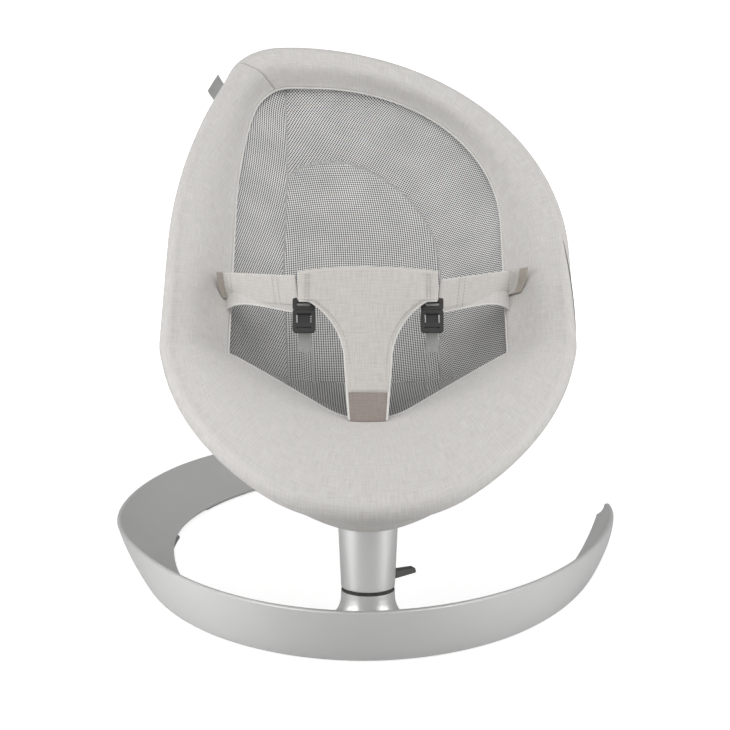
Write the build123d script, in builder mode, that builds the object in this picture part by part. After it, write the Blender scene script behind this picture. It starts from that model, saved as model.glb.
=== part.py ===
from build123d import *
from math import acos, asin, atan2, cos, degrees, hypot, pi, radians, sin, tan
import os

# Baby bouncer seat: a leaf-shaped fabric seat that sways on a leaning stalk, which stands
# on an open cast ring. Millimetres, +Z up, the baby faces -Y, origin on the floor in the middle.

# Base ring: each station is angle from +X towards the back, ridge radius, ridge height,
# foot radius, toe radius and lift of the underside
ring_stations = [
    (78, 248, 14, 245, 233, 0),
    (92, 256, 22, 244, 217, 0),
    (112, 262, 29, 243, 208, 0),
    (138, 264, 36, 241, 209, 0),
    (163, 264, 42, 239, 210, 0),
    (184, 262, 50, 238, 203, 0),
    (204, 257, 59, 237, 201, 0),
    (230, 254, 61, 237, 205, 0),
    (270, 253.5, 61, 237, 208, 0),
    (308, 253.5, 61, 237, 208, 0),
    (330, 256, 59, 239, 211, 0),
    (346, 260, 55, 246, 220, 3),
    (358, 265, 49, 256, 235, 12),
    (369, 270, 41, 265, 256, 25),
]
ring_shift = -4
ridge_width = 6
ridge_crown = 1.5
toe_height = 3.5
wall_bulge = 2.5
slope_sag = 2.0
casting_wall = 4
hollow_span = (100, 340)

# Foot pads under the ring
pad_height = 2
pad_width = 7
pad_arc = 16
pad_inset = 5.5
pad_angles = [100, 138, 176, 214, 252, 288, 326]

# Stalk: heights along its axis, which leans back from the floor point
lean = 10
stalk_foot_y = -216.5
boss_top = 64
boss_neck = 5
boss_flare = 15
boss_flare_height = 26
boss_inset = 1
spindle_radius = 10
spindle_bottom = 24
spindle_top = 136.1
running_gap = 0.05
slip_gap = 0.05
soft_gap = 0.3
bolt_radius = 5
bolt_head_radius = 8
bolt_head_height = 6
bolt_depth = 28
bolt_washer_height = 2
bolt_pocket_radius = 13
seal_height = 3.1
seal_gap = 1.5
thrust_washer_height = 2
thrust_washer_width = 3.5
sleeve_bottom = 67.4
sleeve_top = 150
sleeve_wall = 5
sleeve_flare = 3.7
sleeve_edge = 1.2
lever_bay_top = 83
bush_wall = 4
bush_length = 18
bush_flange = 2
bush_flange_width = 1.5
head_bay_bottom = 134
head_bay_gap = 1

# Swing stop under the tilt bracket
swing_range = 22
stop_height = 3
stop_rim = 1
stop_tab_reach = 6
stop_tab_width = 8
stop_bay_gap = 1.5
cap_screw_radius = 4
cap_screw_depth = 16
cap_head_radius = 6.5
cap_head_height = 4
hex_socket = 5

# Swing lock lever and brake pad
lever_rest = 25
lever_travel = 28
lever_bottom = 72.2
lever_top = 79.8
lever_ring_wall = 5.3
lever_ring_gap = 0.5
lever_reach = 24
lever_half_width = 4.5
lever_slot_margin = 0.7
lever_tip_rise = 3.4
retainer_height = 3.6
retainer_gap = 1.5
brake_angle = 205
brake_gap = 1.4
brake_thickness = 3.5
brake_width = 9

# Tilt bracket, hub and recline plunger
bracket_plate = 6
bracket_inset = 0.7
bracket_screw_inset = 4.5
bracket_screw_angles = [-160, -20, 20, 160]
bracket_screw_radius = 2
bracket_screw_depth = 10
bracket_head_radius = 3.8
bracket_head_height = 2.4
tilt_height = 182
hub_half_width = 13
cheek_gap = 0.3
cheek_thickness = 5
cheek_wall = 9
cheek_foot = 17
tilt_pin_radius = 5
tilt_bush_wall = 2
clip_thickness = 1.2
clip_width = 3
clip_groove = 0.8
recline_range = 18
recline_steps = 3
plunger_arm = 26
plunger_angle = 40
plunger_radius = 3.4
plunger_lobe = 7.5
index_hole_radius = 3.8
knob_radius = 8
knob_length = 11
knob_start = 19
knob_grip_count = 12
knob_grip_radius = 1.2
hub_wall = 7
hub_arm_radius = 12
hub_rear_reach = 62
hub_front_reach = 52
socket_depth = 34

# Seat rim: a back plane and a front plane that meet at the fold line, which is placed from the tilt pin
fold_reach = 127.896
fold_rise = 76.765
back_slope = 32.6
front_slope = 15.8
rim_half_width = 198
rim_tube_radius = 7.5
rim_tube_wall = 1.5
rim_straight = 130
rim_tip_radius = 47
rim_tip_x = -100
rim_top = 416
rim_crown_x = -92
nose_reach = 251
nose_radius = 130
nose_taper = 12.5
nose_straight = 34
rim_seam_gap = 0.12
elbow_length = 30

# Struts inside the seat
strut_radius = 8
strut_wall = 1.6
spine_knee = (197.896, -11.235)
spine_knee_radius = 80
bar_place = 0.252
bar_depth = 76
bar_radius = 5
bar_wall = 1.5

# Cover: padded border between rim and mesh, mesh bowl, back panel
cover_gap = 2.0
cover_cloth = 2.2
border_pad = 5
border_crown = 7
hem_half_width = 145
hem_straight = 200
hem_drop_back = 15
hem_drop_front = 5
hem_drop_fold = 11
hem_tip_radius = 45
hem_tip_x = -85
hem_top = 387
hem_nose = 114
hem_nose_radius = 60
hem_edge = 2.5
wrap_end = 250
border_runs = [(0, 0.12, 3), (0.12, 0.3, 4), (0.3, 0.5, 8), (0.5, 0.88, 7), (0.88, 1, 3)]
apron_runs = [(0, 0.06, 2), (0.06, 0.94, 12), (0.94, 1, 2)]
bowl_places = [0.475, 0.44, 0.4, 0.34, 0.27, 0.19, 0.1, 0]
bowl_front_places = [0.1, 0.2, 0.3, 0.39, 0.46]
bowl_blend = 90
bowl_end_sag = 2
bowl_steepest = 0.8
mesh_depth = 50
mesh_fullness = 0.8
mesh_thickness = 3
mesh_tuck = 2
panel_depth = 108
panel_fullness = 0.55
panel_thickness = 2.5
panel_tuck = -1
panel_mouth = (92, 130)
panel_mouth_shift = 1.896

# Harness: its points are placed from the fold line, and the straps end on the hem
pad_foot = (-114.5, -32.5)
pad_head = (-38, 94)
pad_thickness = 6
pad_edge = 2.2
pad_bar_half = 68
pad_bar_height = 30
pad_crown = 5
pad_stem_half = 18
pad_waist_half = 22
pad_waist_height = 56
pad_shoulder_half = 56
strap_end = (0.4, 81.6, 41.8)
strap_start = (1, -40, 82)
strap_width = 29
strap_thickness = 4
wing_drop = 9
wing_wide = 34
wing_narrow = 10
wing_tip_drop = 26
wing_thickness = 2.5
buckle_x = 62
buckle_width = 22
buckle_body_height = 22
buckle_clip_height = 11
buckle_thickness = 7
buckle_tongue = 15
buckle_tongue_width = 12
buckle_tongue_thickness = 2.4
buckle_overlap = 4
buckle_slot = 3
buckle_slot_width = 14
buckle_window = (15, 9)
buckle_window_drop = 4

# Sewn-in tag on the rim
tag_length = 21
tag_width = 14
tag_thickness = 1.6
tag_sink = 1.2
tag_place = 0.352


bush_bore = spindle_radius + bush_wall
bush_flange_radius = bush_bore + bush_flange_width
head_bay_radius = bush_flange_radius + head_bay_gap
thrust_washer_radius = spindle_radius + thrust_washer_width
seal_inner_radius = thrust_washer_radius + seal_gap
retainer_inner = spindle_radius + retainer_gap
brake_inner = spindle_radius + brake_gap
brake_outer = brake_inner + brake_thickness
lever_ring_inner = brake_outer + soft_gap
lever_ring_outer = lever_ring_inner + lever_ring_wall
lever_bay_radius = lever_ring_outer + lever_ring_gap
sleeve_bottom_radius = lever_bay_radius + sleeve_wall
sleeve_top_radius = sleeve_bottom_radius + sleeve_flare
lever_tip = sleeve_bottom_radius + lever_reach
boss_radius = sleeve_bottom_radius
boss_flare_radius = boss_radius + boss_flare
stop_radius = bush_bore + stop_rim
stop_tab_radius = stop_radius + stop_tab_reach
stop_bay_radius = stop_tab_radius + stop_bay_gap
bracket_radius = sleeve_top_radius - bracket_inset
bracket_screw_circle = bracket_radius - bracket_screw_inset
tilt_bush_radius = tilt_pin_radius + tilt_bush_wall
hub_radius = tilt_bush_radius + hub_wall
cheek_radius = tilt_pin_radius + cheek_wall
clip_radius = tilt_pin_radius + clip_width
rim_turn = acos(cos(radians(nose_taper)) * cos(radians(back_slope - front_slope)))
rim_seam = rim_tube_radius * tan(rim_turn / 2) + rim_seam_gap

lean_sin = sin(radians(lean))
lean_cos = cos(radians(lean))
stalk_foot = Vector(0, stalk_foot_y, 0)
stalk_dir = Vector(0, lean_sin, lean_cos)
stalk_back = Vector(0, lean_cos, -lean_sin)
stalk_axis = Axis(origin=stalk_foot, direction=stalk_dir)


def stalk_section(azimuth=0):
    """Plane through the stalk axis: local x runs outwards, local y along the stalk."""
    turn = radians(azimuth)
    out = Vector(1, 0, 0) * cos(turn) + stalk_back * sin(turn)
    return Plane(origin=stalk_foot, x_dir=out, z_dir=out.cross(stalk_dir))


def stalk_cross(height, azimuth=0):
    """Plane square to the stalk at a height along it."""
    return Plane(
        origin=stalk_foot + stalk_dir * height, x_dir=stalk_section(azimuth).x_dir, z_dir=stalk_dir
    )


def turned_ring(inner, outer, bottom, top):
    """A washer or bush about the stalk axis."""
    with BuildPart() as ring:
        with BuildSketch(stalk_section()):
            with BuildLine():
                Polyline((inner, bottom), (outer, bottom), (outer, top), (inner, top), close=True)
            make_face()
        revolve(axis=stalk_axis)
    return ring


def save(builder, name):
    builder.part.label = name
    export_step(builder.part, f"parts/{name}.step")


os.makedirs("parts", exist_ok=True)

tilt_point = stalk_foot + stalk_dir * tilt_height
fold_point = tilt_point + Vector(0, fold_reach, fold_rise)
side_plane = Plane(origin=tilt_point, x_dir=stalk_back, z_dir=(1, 0, 0))


# Base ring: a wedge section that leans and widens round the ring, lofted station by station
def ring_plane(angle):
    turn = radians(angle)
    return Plane(
        origin=(ring_shift, 0, pad_height),
        x_dir=(cos(turn), sin(turn), 0),
        z_dir=(sin(turn), -cos(turn), 0),
    )


def middle(first, second, along, across):
    """Point halfway between two points, moved by a step."""
    return ((first[0] + second[0]) / 2 + along, (first[1] + second[1]) / 2 + across)


# Boss under the stalk: flared foot, kept inside the wall of the ring and above the floor
front_station = min(ring_stations, key=lambda station: abs(station[0] - 270))
with BuildPart() as boss:
    with BuildSketch(stalk_section()):
        flare_top = boss_top - boss_neck
        flare_foot = flare_top - boss_flare_height
        with BuildLine():
            Polyline((boss_radius, flare_top), (boss_radius, boss_top), (0, boss_top))
            Polyline((0, boss_top), (0, -bolt_depth), (boss_flare_radius, -bolt_depth))
            Line((boss_flare_radius, -bolt_depth), (boss_flare_radius, flare_foot))
            ThreePointArc(
                (boss_radius, flare_top),
                (boss_radius + 0.28 * boss_flare, flare_top - 0.6 * boss_flare_height),
                (boss_flare_radius, flare_foot),
            )
        make_face()
    revolve(axis=stalk_axis)
    with BuildSketch(ring_plane(270)):
        wall_foot = (front_station[3] - boss_inset, 0)
        wall_ridge = (front_station[1] - boss_inset, front_station[2] - pad_height)
        with BuildLine():
            ThreePointArc(wall_foot, middle(wall_foot, wall_ridge, wall_bulge, 0), wall_ridge)
            Polyline(wall_ridge, (wall_ridge[0], 2 * boss_top), (0, 2 * boss_top), (0, 0), wall_foot)
        make_face()
    revolve(axis=Axis(origin=(ring_shift, 0, 0), direction=(0, 0, 1)), mode=Mode.INTERSECT)

with BuildPart() as base_ring:
    for angle, ridge_r, ridge_h, foot_r, toe_r, lift in ring_stations:
        foot = (foot_r, lift)
        ridge_out = (ridge_r, ridge_h - pad_height)
        ridge_in = (ridge_r - ridge_width, ridge_h - pad_height)
        toe_top = (toe_r, lift + toe_height)
        toe_low = (toe_r + toe_height / 2, lift)
        with BuildSketch(ring_plane(angle)):
            with BuildLine():
                ThreePointArc(foot, middle(foot, ridge_out, wall_bulge, 0), ridge_out)
                ThreePointArc(ridge_out, middle(ridge_out, ridge_in, 0, ridge_crown), ridge_in)
                ThreePointArc(ridge_in, middle(ridge_in, toe_top, slope_sag / 2, -slope_sag), toe_top)
                ThreePointArc(toe_top, middle(toe_top, toe_low, -0.3, -0.6), toe_low)
                Line(toe_low, foot)
            make_face()
    loft()
    for angle, ridge_r, ridge_h, foot_r, toe_r, lift in ring_stations:
        if hollow_span[0] < angle < hollow_span[1]:
            with BuildSketch(ring_plane(angle)):
                with BuildLine():
                    Polyline(
                        (foot_r - casting_wall, -pad_height),
                        (ridge_r - ridge_width - 2 * casting_wall, ridge_h - 5 * casting_wall),
                        (toe_r + 2.5 * casting_wall, -pad_height),
                        close=True,
                    )
                make_face()
    loft(mode=Mode.SUBTRACT)
    add(boss.part)
    with BuildSketch():
        Circle(2 * abs(stalk_foot_y))
    extrude(amount=pad_height, mode=Mode.SUBTRACT)
    with BuildSketch(stalk_section()):
        bolt_seat = spindle_bottom - 8
        with BuildLine():
            Polyline(
                (0, boss_top), (spindle_radius, boss_top), (spindle_radius, spindle_bottom),
                (bolt_radius + slip_gap, spindle_bottom), (bolt_radius + slip_gap, bolt_seat),
                (bolt_pocket_radius, bolt_seat), (bolt_pocket_radius, -bolt_depth), (0, -bolt_depth),
                close=True,
            )
        make_face()
    revolve(axis=stalk_axis, mode=Mode.SUBTRACT)
save(base_ring, "base_ring")

with BuildPart() as foot_pads:
    for angle in pad_angles:
        toe = min(ring_stations, key=lambda station: abs(station[0] - angle))[4]
        with BuildSketch():
            arc_start = angle - pad_arc / 2
            pad_line = CenterArc((ring_shift, 0), toe + toe_height / 2 + pad_inset, arc_start, pad_arc)
            SlotArc(arc=pad_line, height=pad_width)
    extrude(amount=pad_height)
save(foot_pads, "foot_pads")

# Spindle and what holds it in the boss
with BuildPart() as spindle:
    with BuildSketch(stalk_section()):
        with BuildLine():
            Polyline(
                (0, spindle_bottom + bolt_depth), (bolt_radius, spindle_bottom + bolt_depth),
                (bolt_radius, spindle_bottom), (spindle_radius, spindle_bottom),
                (spindle_radius, spindle_top), (cap_screw_radius, spindle_top),
                (cap_screw_radius, spindle_top - cap_screw_depth), (0, spindle_top - cap_screw_depth),
                close=True,
            )
        make_face()
    revolve(axis=stalk_axis)
save(spindle, "spindle")

save(
    turned_ring(bolt_radius + slip_gap, bolt_head_radius + 2, bolt_seat - bolt_washer_height, bolt_seat),
    "bolt_washer",
)


def socket_screw(seat, shank_radius, shank_length, head_radius, head_height, upwards):
    """Socket screw on the stalk axis: the head's underside sits at the seat height."""
    side = 1 if upwards else -1
    with BuildPart() as screw:
        with BuildSketch(stalk_cross(seat)):
            Circle(shank_radius)
        extrude(amount=-side * shank_length)
        with BuildSketch(stalk_cross(seat)):
            Circle(head_radius)
        extrude(amount=side * head_height)
        with BuildSketch(stalk_cross(seat + side * head_height)):
            RegularPolygon(hex_socket / 2, 6)
        extrude(amount=-side * head_height / 2, mode=Mode.SUBTRACT)
    return screw


bolt_face = bolt_seat - bolt_washer_height
bolt_shank = bolt_depth + spindle_bottom - bolt_face - 2
save(
    socket_screw(bolt_face, bolt_radius, bolt_shank, bolt_head_radius, bolt_head_height, False),
    "spindle_bolt",
)
save(turned_ring(seal_inner_radius, boss_radius - 0.5, boss_top, boss_top + seal_height), "pivot_seal")
save(
    turned_ring(spindle_radius + slip_gap, thrust_washer_radius, boss_top, boss_top + thrust_washer_height),
    "thrust_washer",
)

# Stop washer: its tab moves in a bay of the sleeve and limits the swing
with BuildPart() as stop_washer:
    with BuildSketch(stalk_cross(spindle_top, 90)):
        Circle(stop_radius)
        with Locations((stop_tab_radius / 2, 0)):
            Rectangle(stop_tab_radius, stop_tab_width)
        Circle(cap_screw_radius + slip_gap, mode=Mode.SUBTRACT)
    extrude(amount=stop_height)
save(stop_washer, "stop_washer")
save(
    socket_screw(
        spindle_top + stop_height, cap_screw_radius, cap_screw_depth + stop_height - 2,
        cap_head_radius, cap_head_height, True,
    ),
    "spindle_cap_screw",
)

# Stalk sleeve: tapered tube with the lever bay, bush bore and head bay
with BuildPart() as stalk_sleeve:
    with BuildSketch(stalk_section()):
        with BuildLine():
            Polyline(
                (lever_bay_radius, sleeve_bottom), (sleeve_bottom_radius, sleeve_bottom),
                (sleeve_top_radius, sleeve_top), (head_bay_radius, sleeve_top),
                (head_bay_radius, head_bay_bottom), (bush_bore, head_bay_bottom),
                (bush_bore, lever_bay_top), (lever_bay_radius, lever_bay_top), close=True,
            )
        sleeve_face = make_face()
        outer_corners = sleeve_face.vertices().sort_by(Axis.X)[-2:]
        fillet(outer_corners, radius=sleeve_edge)
    revolve(axis=stalk_axis)
    slot_half_turn = degrees(asin((lever_half_width + lever_slot_margin) / lever_bay_radius))
    with BuildSketch(stalk_section(lever_rest - slot_half_turn)):
        with BuildLine():
            Polyline(
                (lever_bay_radius - 2, lever_bottom - lever_slot_margin),
                (sleeve_top_radius, lever_bottom - lever_slot_margin),
                (sleeve_top_radius, lever_top + lever_slot_margin),
                (lever_bay_radius - 2, lever_top + lever_slot_margin), close=True,
            )
        make_face()
    revolve(
        axis=stalk_axis, revolution_arc=lever_travel + 2 * slot_half_turn, mode=Mode.SUBTRACT
    )
    stop_half_turn = degrees(asin(stop_tab_width / 2 / stop_radius))
    stop_sweep = 2 * (swing_range + stop_half_turn + 2)
    with BuildSketch(stalk_section(90 - stop_sweep / 2)):
        with BuildLine():
            Polyline(
                (bush_bore + 1, head_bay_bottom), (stop_bay_radius, head_bay_bottom),
                (stop_bay_radius, sleeve_top), (bush_bore + 1, sleeve_top), close=True,
            )
        make_face()
    revolve(axis=stalk_axis, revolution_arc=stop_sweep, mode=Mode.SUBTRACT)
    for angle in bracket_screw_angles:
        with BuildSketch(stalk_cross(sleeve_top, angle)):
            with Locations((bracket_screw_circle, 0)):
                Circle(bracket_screw_radius)
        extrude(amount=-bracket_screw_depth, mode=Mode.SUBTRACT)
save(stalk_sleeve, "stalk_sleeve")


def flanged_bush(barrel_bottom, barrel_top, flange_bottom, flange_top):
    """Plain bearing in the sleeve bore with a thrust flange at one end."""
    bore = spindle_radius + running_gap
    barrel = bush_bore - slip_gap
    with BuildPart() as bush:
        for outer, bottom, top in (
            (barrel, barrel_bottom, barrel_top),
            (bush_flange_radius, flange_bottom, flange_top),
        ):
            with BuildSketch(stalk_section()):
                with BuildLine():
                    Polyline((bore, bottom), (outer, bottom), (outer, top), (bore, top), close=True)
                make_face()
            revolve(axis=stalk_axis)
    return bush


save(
    flanged_bush(lever_bay_top, lever_bay_top + bush_length, lever_bay_top - bush_flange, lever_bay_top),
    "lower_bush",
)
save(
    flanged_bush(
        head_bay_bottom - bush_length, head_bay_bottom, head_bay_bottom,
        spindle_top - 2 * running_gap,
    ),
    "upper_bush",
)
save(
    turned_ring(
        retainer_inner, lever_bay_radius - slip_gap, sleeve_bottom, sleeve_bottom + retainer_height
    ),
    "lever_retainer",
)

# Lock lever: a ring in the lever bay with an arm through the sleeve's slot
with BuildPart() as lock_lever:
    with BuildSketch(stalk_cross(lever_bottom)):
        Circle(lever_ring_outer)
        Circle(lever_ring_inner, mode=Mode.SUBTRACT)
    extrude(amount=lever_top - lever_bottom)
    lever_root = (lever_ring_inner + lever_ring_outer) / 2
    with BuildSketch(stalk_section(lever_rest)):
        with BuildLine():
            Polyline(
                (lever_root, lever_bottom), (sleeve_bottom_radius + 1, lever_bottom),
                (lever_tip, lever_bottom + lever_tip_rise), (lever_tip - 1.5, lever_top + 0.4),
                (lever_root, lever_top), close=True,
            )
        make_face()
    extrude(amount=lever_half_width, both=True)
    tip_edges = lock_lever.edges().filter_by(lambda edge: edge.length > 5).group_by(
        lambda edge: (edge.center() - stalk_foot).cross(stalk_dir).length
    )[-1]
    fillet(tip_edges, radius=lever_half_width / 3)
save(lock_lever, "lock_lever")

with BuildPart() as brake_pad:
    with BuildSketch(stalk_cross(lever_bottom, brake_angle)):
        Circle(brake_outer)
        Circle(brake_inner, mode=Mode.SUBTRACT)
        with Locations(((brake_inner + brake_outer) / 2, 0)):
            Rectangle(brake_outer, brake_width, mode=Mode.INTERSECT)
    extrude(amount=lever_top - lever_bottom)
save(brake_pad, "brake_pad")

# Tilt bracket: plate on the sleeve with two cheeks; the left one is an index sector
cheek_inner = hub_half_width + cheek_gap
index_step = recline_range / (recline_steps - 1)
index_turns = [radians(plunger_angle - step * index_step) for step in range(recline_steps)]
index_points = [(plunger_arm * cos(turn), plunger_arm * sin(turn)) for turn in index_turns]
plate_top = sleeve_top + bracket_plate - tilt_height
with BuildPart() as tilt_bracket:
    with BuildSketch(stalk_cross(sleeve_top)):
        Circle(bracket_radius)
        for angle in bracket_screw_angles:
            turn = radians(angle)
            with Locations((bracket_screw_circle * cos(turn), bracket_screw_circle * sin(turn))):
                Circle(bracket_screw_radius + slip_gap, mode=Mode.SUBTRACT)
    extrude(amount=bracket_plate)
    for start in (cheek_inner, -cheek_inner - cheek_thickness):
        with BuildSketch(side_plane.offset(start)):
            with BuildSketch(mode=Mode.PRIVATE) as cheek_outline:
                Circle(cheek_radius)
                with Locations((0, plate_top - bracket_plate / 2)):
                    Rectangle(2 * cheek_foot, bracket_plate)
            make_hull(cheek_outline.edges())
            if start < 0:
                with BuildSketch(mode=Mode.PRIVATE) as sector_outline:
                    Circle(cheek_radius)
                    with Locations(*index_points):
                        Circle(plunger_lobe)
                make_hull(sector_outline.edges())
                with Locations(*index_points):
                    Circle(index_hole_radius, mode=Mode.SUBTRACT)
            Circle(tilt_pin_radius + running_gap, mode=Mode.SUBTRACT)
        extrude(amount=cheek_thickness)
save(tilt_bracket, "tilt_bracket")

with BuildPart() as bracket_screws:
    for angle in bracket_screw_angles:
        with BuildSketch(stalk_cross(sleeve_top + bracket_plate, angle)):
            with Locations((bracket_screw_circle, 0)):
                Circle(bracket_screw_radius)
        extrude(amount=-bracket_plate - bracket_screw_depth + 1)
        with BuildSketch(stalk_cross(sleeve_top + bracket_plate, angle)):
            with Locations((bracket_screw_circle, 0)):
                Circle(bracket_head_radius)
        extrude(amount=bracket_head_height)
        with BuildSketch(stalk_cross(sleeve_top + bracket_plate + bracket_head_height, angle)):
            with Locations((bracket_screw_circle, 0)):
                RegularPolygon(bracket_screw_radius, 6)
        extrude(amount=-bracket_head_height / 2, mode=Mode.SUBTRACT)
save(bracket_screws, "bracket_screws")

# Tilt pin with a spring clip at each end
clip_inner_face = cheek_inner + cheek_thickness + cheek_gap
pin_half = clip_inner_face + clip_thickness + 2
with BuildPart() as tilt_pin:
    with BuildSketch(side_plane):
        Circle(tilt_pin_radius)
    extrude(amount=pin_half, both=True)
    for start in (clip_inner_face, -clip_inner_face - clip_thickness):
        with BuildSketch(side_plane.offset(start)):
            Circle(tilt_pin_radius + 1)
            Circle(tilt_pin_radius - clip_groove, mode=Mode.SUBTRACT)
        extrude(amount=clip_thickness, mode=Mode.SUBTRACT)
    chamfer(tilt_pin.faces().filter_by(Axis.X).group_by(Axis.X)[0].edges(), length=1)
    chamfer(tilt_pin.faces().filter_by(Axis.X).group_by(Axis.X)[-1].edges(), length=1)
save(tilt_pin, "tilt_pin")

with BuildPart() as pin_clips:
    for start in (clip_inner_face, -clip_inner_face - clip_thickness):
        with BuildSketch(side_plane.offset(start)):
            Circle(clip_radius)
            Circle(tilt_pin_radius - clip_groove, mode=Mode.SUBTRACT)
            with Locations((clip_radius, 0)):
                Rectangle(2 * clip_radius, clip_groove * 6, mode=Mode.SUBTRACT)
        extrude(amount=clip_thickness)
save(pin_clips, "pin_clips")

# Seat planes: they meet at the fold line, and local y runs along each slope
back_dir = Vector(0, cos(radians(back_slope)), sin(radians(back_slope)))
front_dir = Vector(0, -cos(radians(front_slope)), -sin(radians(front_slope)))
back_normal = Vector(1, 0, 0).cross(back_dir)
front_normal = front_dir.cross(Vector(1, 0, 0))
fold_normal = (back_normal + front_normal).normalized()


def back_plane(drop=0):
    return Plane(origin=fold_point - back_normal * drop, x_dir=(1, 0, 0), z_dir=back_normal)


def front_plane(drop=0):
    """Front plane: local y runs forwards to the nose, so local x points to -X."""
    return Plane(origin=fold_point - front_normal * drop, x_dir=(-1, 0, 0), z_dir=front_normal)


def leaf_line(half_width, start, straight, tip_radius, tip_x, crown_x, top):
    """Leaf outline over the back, from the left fold corner round the tip to the right one.

    The left side's arc starts upright at the end of the straight and touches the tip's circle,
    and the crown is a quarter circle that ends upright on the right side.
    """
    tip_y = top - tip_radius
    reach = tip_x + half_width
    side_radius = (reach**2 + (straight - tip_y) ** 2 - tip_radius**2) / (2 * (reach - tip_radius))
    side_x = side_radius - half_width
    touch = degrees(atan2(tip_y - straight, tip_x - side_x))
    crown_radius = half_width - crown_x
    Line((-half_width, start), (-half_width, straight))
    CenterArc((side_x, straight), side_radius, 180, touch - 180)
    CenterArc((tip_x, tip_y), tip_radius, touch, 90 - touch)
    Line((tip_x, top), (crown_x, top))
    CenterArc((crown_x, top - crown_radius), crown_radius, 90, -90)
    Line((half_width, top - crown_radius), (half_width, start))


def nose_line():
    """Rim outline round the nose, from the right fold corner to the left one."""
    taper = radians(nose_taper)
    centre_y = nose_reach - nose_radius
    end_x = rim_half_width - nose_straight * sin(taper)
    end_y = nose_straight * cos(taper)
    offset_y = end_y - centre_y
    across = end_x * cos(taper) + offset_y * sin(taper)
    side_radius = (end_x**2 + offset_y**2 - nose_radius**2) / (2 * (across - nose_radius))
    side_x = end_x - side_radius * cos(taper)
    side_y = end_y - side_radius * sin(taper)
    touch = degrees(atan2(centre_y - side_y, -side_x))
    start_x = rim_half_width - rim_seam * sin(taper)
    Line((-start_x, rim_seam * cos(taper)), (-end_x, end_y))
    CenterArc((-side_x, side_y), side_radius, 180 - nose_taper, nose_taper - touch)
    CenterArc((0, centre_y), nose_radius, 180 - touch, 2 * touch - 180)
    CenterArc((side_x, side_y), side_radius, touch, nose_taper - touch)
    Line((end_x, end_y), (start_x, rim_seam * cos(taper)))


def hem_nose_line():
    """Front edge of the mesh: two straight sides that touch the nose circle."""
    centre_y = hem_nose - hem_nose_radius
    spread = degrees(acos(hem_nose_radius / hypot(hem_half_width, centre_y)))
    touch = spread - degrees(atan2(centre_y, hem_half_width))
    touch_x = hem_nose_radius * cos(radians(touch))
    touch_y = centre_y + hem_nose_radius * sin(radians(touch))
    Line((-hem_half_width, 0), (-touch_x, touch_y))
    CenterArc((0, centre_y), hem_nose_radius, 180 - touch, 2 * touch - 180)
    Line((touch_x, touch_y), (hem_half_width, 0))


with BuildLine(back_plane()) as rim_back_line:
    leaf_line(rim_half_width, rim_seam, rim_straight, rim_tip_radius, rim_tip_x, rim_crown_x, rim_top)
with BuildLine(front_plane()) as rim_front_line:
    nose_line()
with BuildLine(back_plane(hem_drop_back)) as hem_back_line:
    hem_crown_x = hem_tip_x + 24
    leaf_line(hem_half_width, 0, hem_straight, hem_tip_radius, hem_tip_x, hem_crown_x, hem_top)
with BuildLine(front_plane(hem_drop_front)) as hem_front_line:
    hem_nose_line()
rim_back = rim_back_line.wire()
rim_front = rim_front_line.wire()
hem_back = hem_back_line.wire()
hem_front = hem_front_line.wire()


def tube_along(path, radius, wall):
    """Round tube swept along a path, or a rod where the wall is the radius."""
    with BuildPart() as tube:
        with BuildSketch(Plane(origin=path @ 0, z_dir=path % 0)):
            Circle(radius)
            if wall < radius:
                Circle(radius - wall, mode=Mode.SUBTRACT)
        sweep(path=path)
    return tube


rim_back_rod = tube_along(rim_back, rim_tube_radius, rim_tube_radius)
rim_front_rod = tube_along(rim_front, rim_tube_radius, rim_tube_radius)
save(tube_along(rim_back, rim_tube_radius, rim_tube_wall), "upper_hoop")
save(tube_along(rim_front, rim_tube_radius, rim_tube_wall), "lower_hoop")


# Elbows that plug the two hoops together at the fold
def rim_corner(side):
    return fold_point + Vector(side * rim_half_width, 0, 0)


for elbow_name, side in (("rim_elbow_left", -1), ("rim_elbow_right", 1)):
    taper = radians(nose_taper)
    plug_radius = rim_tube_radius - rim_tube_wall - slip_gap
    with BuildPart() as rim_elbow:
        for direction in (back_dir, front_dir * cos(taper) - Vector(side * sin(taper), 0, 0)):
            with BuildSketch(Plane(origin=rim_corner(side), z_dir=direction)):
                Circle(plug_radius)
            extrude(amount=elbow_length)
        with Locations(rim_corner(side)):
            Sphere(plug_radius)
    save(rim_elbow, elbow_name)

# Hub on the tilt pin, with sockets for the front strut and the spine
nose_point = fold_point + front_dir * nose_reach
front_way = (nose_point - tilt_point).normalized()
knee_point = tilt_point + Vector(0, *spine_knee)
rear_way = (knee_point - tilt_point).normalized()
plunger_turn = radians(plunger_angle)
plunger_way = stalk_back * cos(plunger_turn) + stalk_dir * sin(plunger_turn)
plunger_point = tilt_point + plunger_way * plunger_arm
hub_plane = Plane(origin=tilt_point, x_dir=(0, 1, 0), z_dir=(1, 0, 0))
hub_arms = (
    (rear_way * hub_rear_reach, hub_arm_radius),
    (front_way * hub_front_reach, hub_arm_radius),
    (plunger_way * plunger_arm, plunger_lobe),
)
with BuildPart() as seat_hub:
    with BuildSketch(hub_plane):
        for arm, arm_radius in hub_arms:
            with BuildSketch(mode=Mode.PRIVATE) as arm_outline:
                Circle(hub_radius)
                with Locations((arm.Y, arm.Z)):
                    Circle(arm_radius)
            make_hull(arm_outline.edges())
        Circle(tilt_bush_radius, mode=Mode.SUBTRACT)
        with Locations((hub_arms[2][0].Y, hub_arms[2][0].Z)):
            Circle(plunger_radius + slip_gap, mode=Mode.SUBTRACT)
    extrude(amount=hub_half_width, both=True)
    for way, reach in ((rear_way, hub_rear_reach), (front_way, hub_front_reach)):
        with BuildSketch(Plane(origin=tilt_point + way * (reach - socket_depth), z_dir=way)):
            Circle(strut_radius + slip_gap)
        extrude(amount=2 * socket_depth, mode=Mode.SUBTRACT)
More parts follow.
